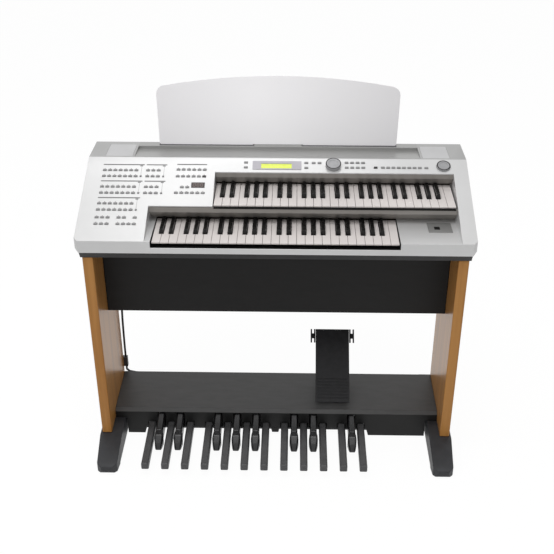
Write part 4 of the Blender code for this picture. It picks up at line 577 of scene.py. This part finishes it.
# Painted shade: the deck darker than the panel, and the trough darker again.
deck_shade_share = beyond(spread.outputs["Y"], DECK_EDGE)
from_middle = paint_nodes.new("ShaderNodeMath")
from_middle.operation = "ABSOLUTE"
paint_links.new(spread.outputs["X"], from_middle.inputs[0])
outside = beyond(from_middle.outputs["Value"], TROUGH_SIDE)
inside = paint_nodes.new("ShaderNodeMath")
inside.operation = "SUBTRACT"
inside.inputs[0].default_value = 1
paint_links.new(outside, inside.inputs[1])
trough_shade_share = both(beyond(spread.outputs["Y"], TROUGH_EDGE), inside.outputs["Value"])
deck_painted_shade_colour = with_painted_shade(paint_nodes["tint"].outputs["Color"], deck_shade_share, DECK_PAINTED_SHADE)
trough_painted_shade_colour = with_painted_shade(deck_painted_shade_colour, trough_shade_share, TROUGH_PAINTED_SHADE)
paint_links.new(trough_painted_shade_colour, paint_nodes["Principled BSDF"].inputs["Base Color"])
finished("top_shell", "console_shell", silver_paint, width=0.0005, segments=2, corner=35)

# Panel print: thin grey lines over the rows of voice and rhythm buttons, printed on the panel a
# tenth of a millimetre thick. Most have a small tag at the right end and a hairline down from it.
PANEL_SLOPE = math.radians(20.6)
PANEL_FOOT = (-0.1805, 0.755)
PRINT_THICK = 0.00012
LINE_TALL = 0.0042
TAG_LONG = 0.0085
TAG_TALL = 0.0036
TAG_DROP = 0.0048
HAIRLINE_INSET = 0.0075
HAIRLINE_WIDE = 0.0007
HAIRLINE_DROP = 0.007
HAIRLINE_FOOT = 0.005
print_grey = finish(
    "print_grey", dark=(0.13, 0.13, 0.13), light=(0.18, 0.18, 0.18), drift=300, rough=(0.5, 0.6)
)


def on_panel(x, slope, rise=0.0):
    """A place on the sloping panel: across, up the slope from its front crease, and out of it."""
    y = PANEL_FOOT[0] + slope * math.cos(PANEL_SLOPE) - rise * math.sin(PANEL_SLOPE)
    z = PANEL_FOOT[1] + slope * math.sin(PANEL_SLOPE) + rise * math.cos(PANEL_SLOPE)
    return (x, y, z)


# Each line: its left end, its right end, its own row, and the row of the small button below it.
HEADERS = (
    (-0.506, -0.386, 0.2935, 0.247),
    (-0.380, -0.320, 0.2935, 0.247),
    (-0.506, -0.386, 0.2275, 0.181),
    (-0.380, -0.320, 0.2275, 0.181),
    (-0.506, -0.386, 0.1620, 0.116),
    (-0.291, -0.204, 0.2960, None),
)
lines = []
for line_left, line_right, line_row, button_row in HEADERS:
    place = on_panel((line_left + line_right) / 2, line_row, PRINT_THICK / 2)
    lines.append(slab("line", place, (line_right - line_left, LINE_TALL, PRINT_THICK), PANEL_SLOPE))
    if button_row:
        tag_place = on_panel(line_right - TAG_LONG, line_row - TAG_DROP, PRINT_THICK / 2)
        lines.append(slab("line", tag_place, (TAG_LONG, TAG_TALL, PRINT_THICK), PANEL_SLOPE))
        hair_top = line_row - HAIRLINE_DROP
        hair_foot = button_row + HAIRLINE_FOOT
        hair_place = on_panel(line_right - HAIRLINE_INSET, (hair_top + hair_foot) / 2, PRINT_THICK / 2)
        hair_size = (HAIRLINE_WIDE, hair_top - hair_foot, PRINT_THICK)
        lines.append(slab("line", hair_place, hair_size, PANEL_SLOPE))
panel_print = joined("panel_print", lines)
round_edges(panel_print, width=0.00003, segments=1)
dress(panel_print, print_grey, "organ_body")

# Deck plates, speakers and circuit board: two painted plates lie flush in the deck's ends, each
# over a small cone speaker, and the green circuit board lies on standoffs at the console's left.
deck_silver = finish(
    "deck_silver", dark=(0.49, 0.49, 0.495), light=(0.54, 0.54, 0.545), drift=12, rough=(0.36, 0.44),
    bump=0.00003, grit=2600, metallic=0.25,
)
cone_black = finish(
    "cone_black", dark=(0.012, 0.012, 0.012), light=(0.02, 0.02, 0.02), drift=50, rough=(0.6, 0.75),
    bump=0.0001, grit=900,
)
board_lacquer = finish(
    "board_lacquer", dark=(0.02, 0.10, 0.035), light=(0.035, 0.14, 0.055), drift=200, rough=(0.35, 0.5)
)
for side in ("left", "right"):
    finished("deck_plate_" + side, "deck_lid_" + side, deck_silver, width=0.0004, segments=2)
    finished("speaker_" + side, "speaker_unit_" + side, cone_black, width=0.0004, segments=2)
finished("main_board", "circuit_board", board_lacquer, width=0.0002, segments=2)

# Slot plate: a darker silver plate let into the right-hand shelf, with a black plastic socket for
# a memory stick on it.
plate_grey = finish(
    "plate_grey", dark=(0.235, 0.235, 0.23), light=(0.27, 0.27, 0.265), drift=12, rough=(0.36, 0.44),
    bump=0.00003, grit=2600, metallic=0.25,
)
finished("slot_plate", "stick_plate", plate_grey, width=0.0005, segments=2)
SOCKET_PLACE = Vector((0.453, -0.0815))
SOCKET_SIZE = (0.0170, 0.0190, 0.0010)
MOUTH_EDGE = 0.0022
MOUTH_WALL = 0.0001
MOUTH_DEPTH = 0.0006
FACES_UP = 0.9
plate_top = max(frame["nodes"]["slot_plate"].data.polygons, key=lambda face: face.normal.z * face.area)
lean = math.atan2(-plate_top.normal.y, plate_top.normal.z)
step_back = SOCKET_PLACE[1] - plate_top.center.y
plate_rise = plate_top.center.z + step_back * math.tan(lean)
socket = slab("stick_socket", (*SOCKET_PLACE, plate_rise + SOCKET_SIZE[2] / 2), SOCKET_SIZE, lean)
for face in socket.data.polygons:
    face.select = face.normal.z > FACES_UP
bpy.ops.object.mode_set(mode="EDIT")
bpy.ops.mesh.inset(thickness=MOUTH_EDGE, depth=0)
bpy.ops.mesh.inset(thickness=MOUTH_WALL, depth=-MOUTH_DEPTH)
bpy.ops.object.mode_set(mode="OBJECT")
round_edges(socket, width=0.0002, segments=2)
dress(socket, slip_black, "organ_body")

# Buttons: grey moulded caps that stand through the panel, the caps of a group on one strip under
# it. Two caps are black, and each large voice and rhythm cap has a small domed lamp above it.
button_grey = finish(
    "button_grey", dark=(0.21, 0.21, 0.21), light=(0.27, 0.27, 0.27), drift=80, rough=(0.4, 0.5),
    bump=0.00002, grit=2000,
)
cap_black = finish(
    "cap_black", dark=(0.012, 0.010, 0.010), light=(0.020, 0.017, 0.017), drift=80, rough=(0.35, 0.45),
    bump=0.00002, grit=2000,
)
lamp_lens = finish(
    "lamp_lens", dark=(0.13, 0.11, 0.11), light=(0.20, 0.17, 0.17), drift=200, rough=(0.1, 0.15)
)
PANEL_NORMAL = Vector((0, -math.sin(PANEL_SLOPE), math.cos(PANEL_SLOPE)))
BLACK_CAPS = {"rhythm": (-0.2095, 0.248), "registration": (0.287, 0.289)}
CAP_HALF = 0.0062
CAP_TOP_LEVEL = 0.999
CAP_TOP_RISE = 0.0015
CAP_TOP_SMALLEST = 0.00003
CAP_TOP_LARGEST = 0.0001
LAMP_RADIUS = 0.0012
LAMP_FLATNESS = 0.5
LAMP_LIFT = 0.0068
bpy.ops.object.select_all(action="DESELECT")
bpy.ops.mesh.primitive_uv_sphere_add(segments=10, ring_count=6, radius=LAMP_RADIUS, location=(0, 0, 0))
lens_dome = bpy.context.active_object
lens_dome.scale = (1, 1, LAMP_FLATNESS)
bpy.ops.object.transform_apply(location=False, rotation=False, scale=True)
edit(lens_dome)
bpy.ops.mesh.select_all(action="SELECT")
bpy.ops.mesh.bisect(plane_co=(0, 0, 0), plane_no=(0, 0, 1), clear_inner=True, use_fill=True)
bpy.ops.object.mode_set(mode="OBJECT")
bpy.ops.object.shade_smooth_by_angle(angle=math.radians(40))
panel_turn = Matrix.Rotation(PANEL_SLOPE, 4, "X")
lamps = []
for group in ("voice", "rhythm", "menu", "registration"):
    caps = finished(group + "_buttons", group + "_caps", button_grey, width=0.0007, segments=2)
    caps.data.materials.append(cap_black)
    for face in caps.data.polygons:
        slope = (face.center.y - PANEL_FOOT[0]) / math.cos(PANEL_SLOPE)
        if group in BLACK_CAPS:
            black_x, black_slope = BLACK_CAPS[group]
            if abs(face.center.x - black_x) < CAP_HALF and abs(slope - black_slope) < CAP_HALF:
                face.material_index = 1
        level = face.normal.dot(PANEL_NORMAL) > CAP_TOP_LEVEL
        full_cap = CAP_TOP_SMALLEST < face.area < CAP_TOP_LARGEST
        rise = (face.center - Vector(on_panel(0, 0))).dot(PANEL_NORMAL)
        if group in ("voice", "rhythm") and level and full_cap and rise > CAP_TOP_RISE:
            dome = bpy.data.objects.new("lens", lens_dome.data.copy())
            bpy.context.scene.collection.objects.link(dome)
            dome_place = on_panel(face.center.x, slope + LAMP_LIFT)
            dome.data.transform(Matrix.Translation(dome_place) @ panel_turn)
            lamps.append(dome)
bpy.data.objects.remove(lens_dome)
dress(joined("cap_lamps", lamps), lamp_lens, "organ_body")

# Displays: a grey bezel round a lit yellow-green glass in the panel's middle, and a small dark
# tempo window with the dim strokes of three digits on its glass.
bezel_grey = finish(
    "bezel_grey", dark=(0.41, 0.395, 0.43), light=(0.46, 0.445, 0.48), drift=20, rough=(0.28, 0.38)
)
lcd_lit = finish(
    "lcd_lit", dark=(0.62, 0.72, 0.06), light=(0.74, 0.84, 0.10), drift=120, rough=(0.15, 0.2)
)
lcd_shader = lcd_lit.node_tree.nodes["Principled BSDF"]
lcd_shader.inputs["Emission Color"].default_value = (0.75, 0.95, 0.04, 1)
lcd_shader.inputs["Emission Strength"].default_value = 0.10
window_dark = finish(
    "window_dark", dark=(0.045, 0.034, 0.033), light=(0.060, 0.046, 0.044), drift=60, rough=(0.14, 0.22),
    shine=0.3,
)
finished("display_bezel", "screen_bezel", bezel_grey, width=0.0006)
finished("display_glass", "screen_glass", lcd_lit, width=0.0003, segments=2)
finished("tempo_display", "tempo_window", window_dark, width=0.0003, segments=2)
digit_dim = finish(
    "digit_dim", dark=(0.17, 0.12, 0.11), light=(0.22, 0.16, 0.145), drift=200, rough=(0.3, 0.4)
)
TEMPO_PLACE = (-0.225, 0.2135)
DIGIT_PITCH = 0.0105
DIGIT_WIDTH = 0.0062
DIGIT_TALL = 0.0125
STROKE = 0.0012
STROKE_SHORTER = STROKE * 1.3
STROKE_THICK = 0.0002
STROKE_RISE = 0.00075
LEVEL_STROKES = ((0, 1), (0, 0), (0, -1))
UPRIGHT_STROKES = ((-1, 0.5), (1, 0.5), (-1, -0.5), (1, -0.5))
level_size = (DIGIT_WIDTH - STROKE_SHORTER, STROKE, STROKE_THICK)
upright_size = (STROKE, DIGIT_TALL / 2 - STROKE_SHORTER, STROKE_THICK)
strokes = []
for digit in (-1, 0, 1):
    for stroke_places, size in ((LEVEL_STROKES, level_size), (UPRIGHT_STROKES, upright_size)):
        for across, up in stroke_places:
            place = on_panel(
                TEMPO_PLACE[0] + digit * DIGIT_PITCH + across * DIGIT_WIDTH / 2,
                TEMPO_PLACE[1] + up * DIGIT_TALL / 2,
                STROKE_RISE,
            )
            strokes.append(slab("stroke", place, size, PANEL_SLOPE))
digits = joined("tempo_digits", strokes)
round_edges(digits, width=0.00005, segments=1)
dress(digits, digit_dim, "organ_body")

# Dial and volume knob: satin grey plastic, the dial raised on its shaft and the knob sunk in the
# panel. Each turns with a dark flattened ring round the edge of its face, painted shade for the
# shadowed rim.
dial_satin = finish(
    "dial_satin", dark=(0.31, 0.31, 0.32), light=(0.36, 0.36, 0.37), drift=60, rough=(0.34, 0.42),
    bump=0.00002, grit=1800, metallic=0.1,
)
finished("data_dial", "value_dial", dial_satin, width=0)
finished("volume_knob", "level_knob", dial_satin, width=0)
rim_shade_grey = finish(
    "rim_shade_grey", dark=(0.022, 0.021, 0.021), light=(0.034, 0.033, 0.033), drift=80, rough=(0.4, 0.5),
    bump=0.00002, grit=1800, shine=0.3,
)
# Each ring: its name, the piece it turns with, its place on the panel, its radius and its wire's.
RINGS = (
    ("dial_ring", "data_dial", (0.164, 0.295), 0.0209, 0.0013),
    ("knob_ring", "volume_knob", (0.484, 0.296), 0.0181, 0.0017),
)
RING_FLATNESS = 0.35
flattened = Matrix.Diagonal((1, 1, RING_FLATNESS, 1))
for ring_name, turning, ring_place, ring_radius, ring_wire in RINGS:
    bpy.ops.object.select_all(action="DESELECT")
    bpy.ops.mesh.primitive_torus_add(
        major_segments=64, minor_segments=8, major_radius=ring_radius, minor_radius=ring_wire,
        location=(0, 0, 0), rotation=(0, 0, 0),
    )
    ring = bpy.context.active_object
    ring.name = ring_name
    top = max(point.co.dot(PANEL_NORMAL) for point in frame["nodes"][turning].data.vertices)
    face_place = Vector(on_panel(*ring_place))
    face_place += PANEL_NORMAL * (top - face_place.dot(PANEL_NORMAL))
    ring.data.transform(Matrix.Translation(face_place) @ panel_turn @ flattened)
    bpy.ops.object.shade_smooth()
    dress(ring, rim_shade_grey, frame["nodes"][turning]["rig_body"])

# Music rest: a sheet of frosted white acrylic with an arched top, and a painted pool of light that makes
# it brighter towards its middle. It stands in the grooves of two dark rails on the deck and lifts out.
frosted_white = finish(
    "frosted_white", dark=(0.76, 0.75, 0.765), light=(0.98, 0.97, 0.985), drift=3, rough=(0.34, 0.4),
    shine=0.35,
)
# Painted light: the tint brightens from the edge of this sphere to its centre on the sheet.
LIGHT_POOL_CENTRE = (-0.06, 0.25, 0.985)
LIGHT_POOL_REACH = 0.62
LIGHT_POOL_START = 0.2
LIGHT_POOL_FULL = 0.95
frost_nodes = frosted_white.node_tree.nodes
frost_links = frosted_white.node_tree.links
frost_place = frost_nodes.new("ShaderNodeTexCoord")
frost_turn = frost_nodes.new("ShaderNodeMapping")
frost_turn.inputs["Scale"].default_value = (1 / LIGHT_POOL_REACH,) * 3
frost_turn.inputs["Location"].default_value = [-place / LIGHT_POOL_REACH for place in LIGHT_POOL_CENTRE]
painted_light_pool = frost_nodes.new("ShaderNodeTexGradient")
painted_light_pool.gradient_type = "SPHERICAL"
frost_links.new(frost_place.outputs["Object"], frost_turn.inputs["Vector"])
frost_links.new(frost_turn.outputs["Vector"], painted_light_pool.inputs["Vector"])
frost_links.new(painted_light_pool.outputs["Fac"], frost_nodes["tint"].inputs["Fac"])
frost_nodes["tint"].color_ramp.elements[0].position = LIGHT_POOL_START
frost_nodes["tint"].color_ramp.elements[1].position = LIGHT_POOL_FULL
rail_dark = finish(
    "rail_dark", dark=(0.05, 0.05, 0.055), light=(0.07, 0.07, 0.075), drift=50, rough=(0.4, 0.5),
    bump=0.00005, grit=1500,
)
finished("music_rest", "music_desk", frosted_white, width=0.0008)
finished("music_rest_holder", "desk_rails", rail_dark, width=0.0006)

# Pedal lead: a round lead in a black sheath. It leaves the console's underside, goes down behind
# the left side panel through a plastic clip, and enters the back of the pedal box.
sheath_black = finish(
    "sheath_black", dark=(0.010, 0.010, 0.010), light=(0.016, 0.016, 0.016), drift=90, rough=(0.4, 0.5),
    bump=0.00003, grit=1500,
)
finished("pedal_cable", "pedal_lead", sheath_black, width=0)
finished("cable_clip", "lead_clip", rail_dark, width=0.0004, segments=2)
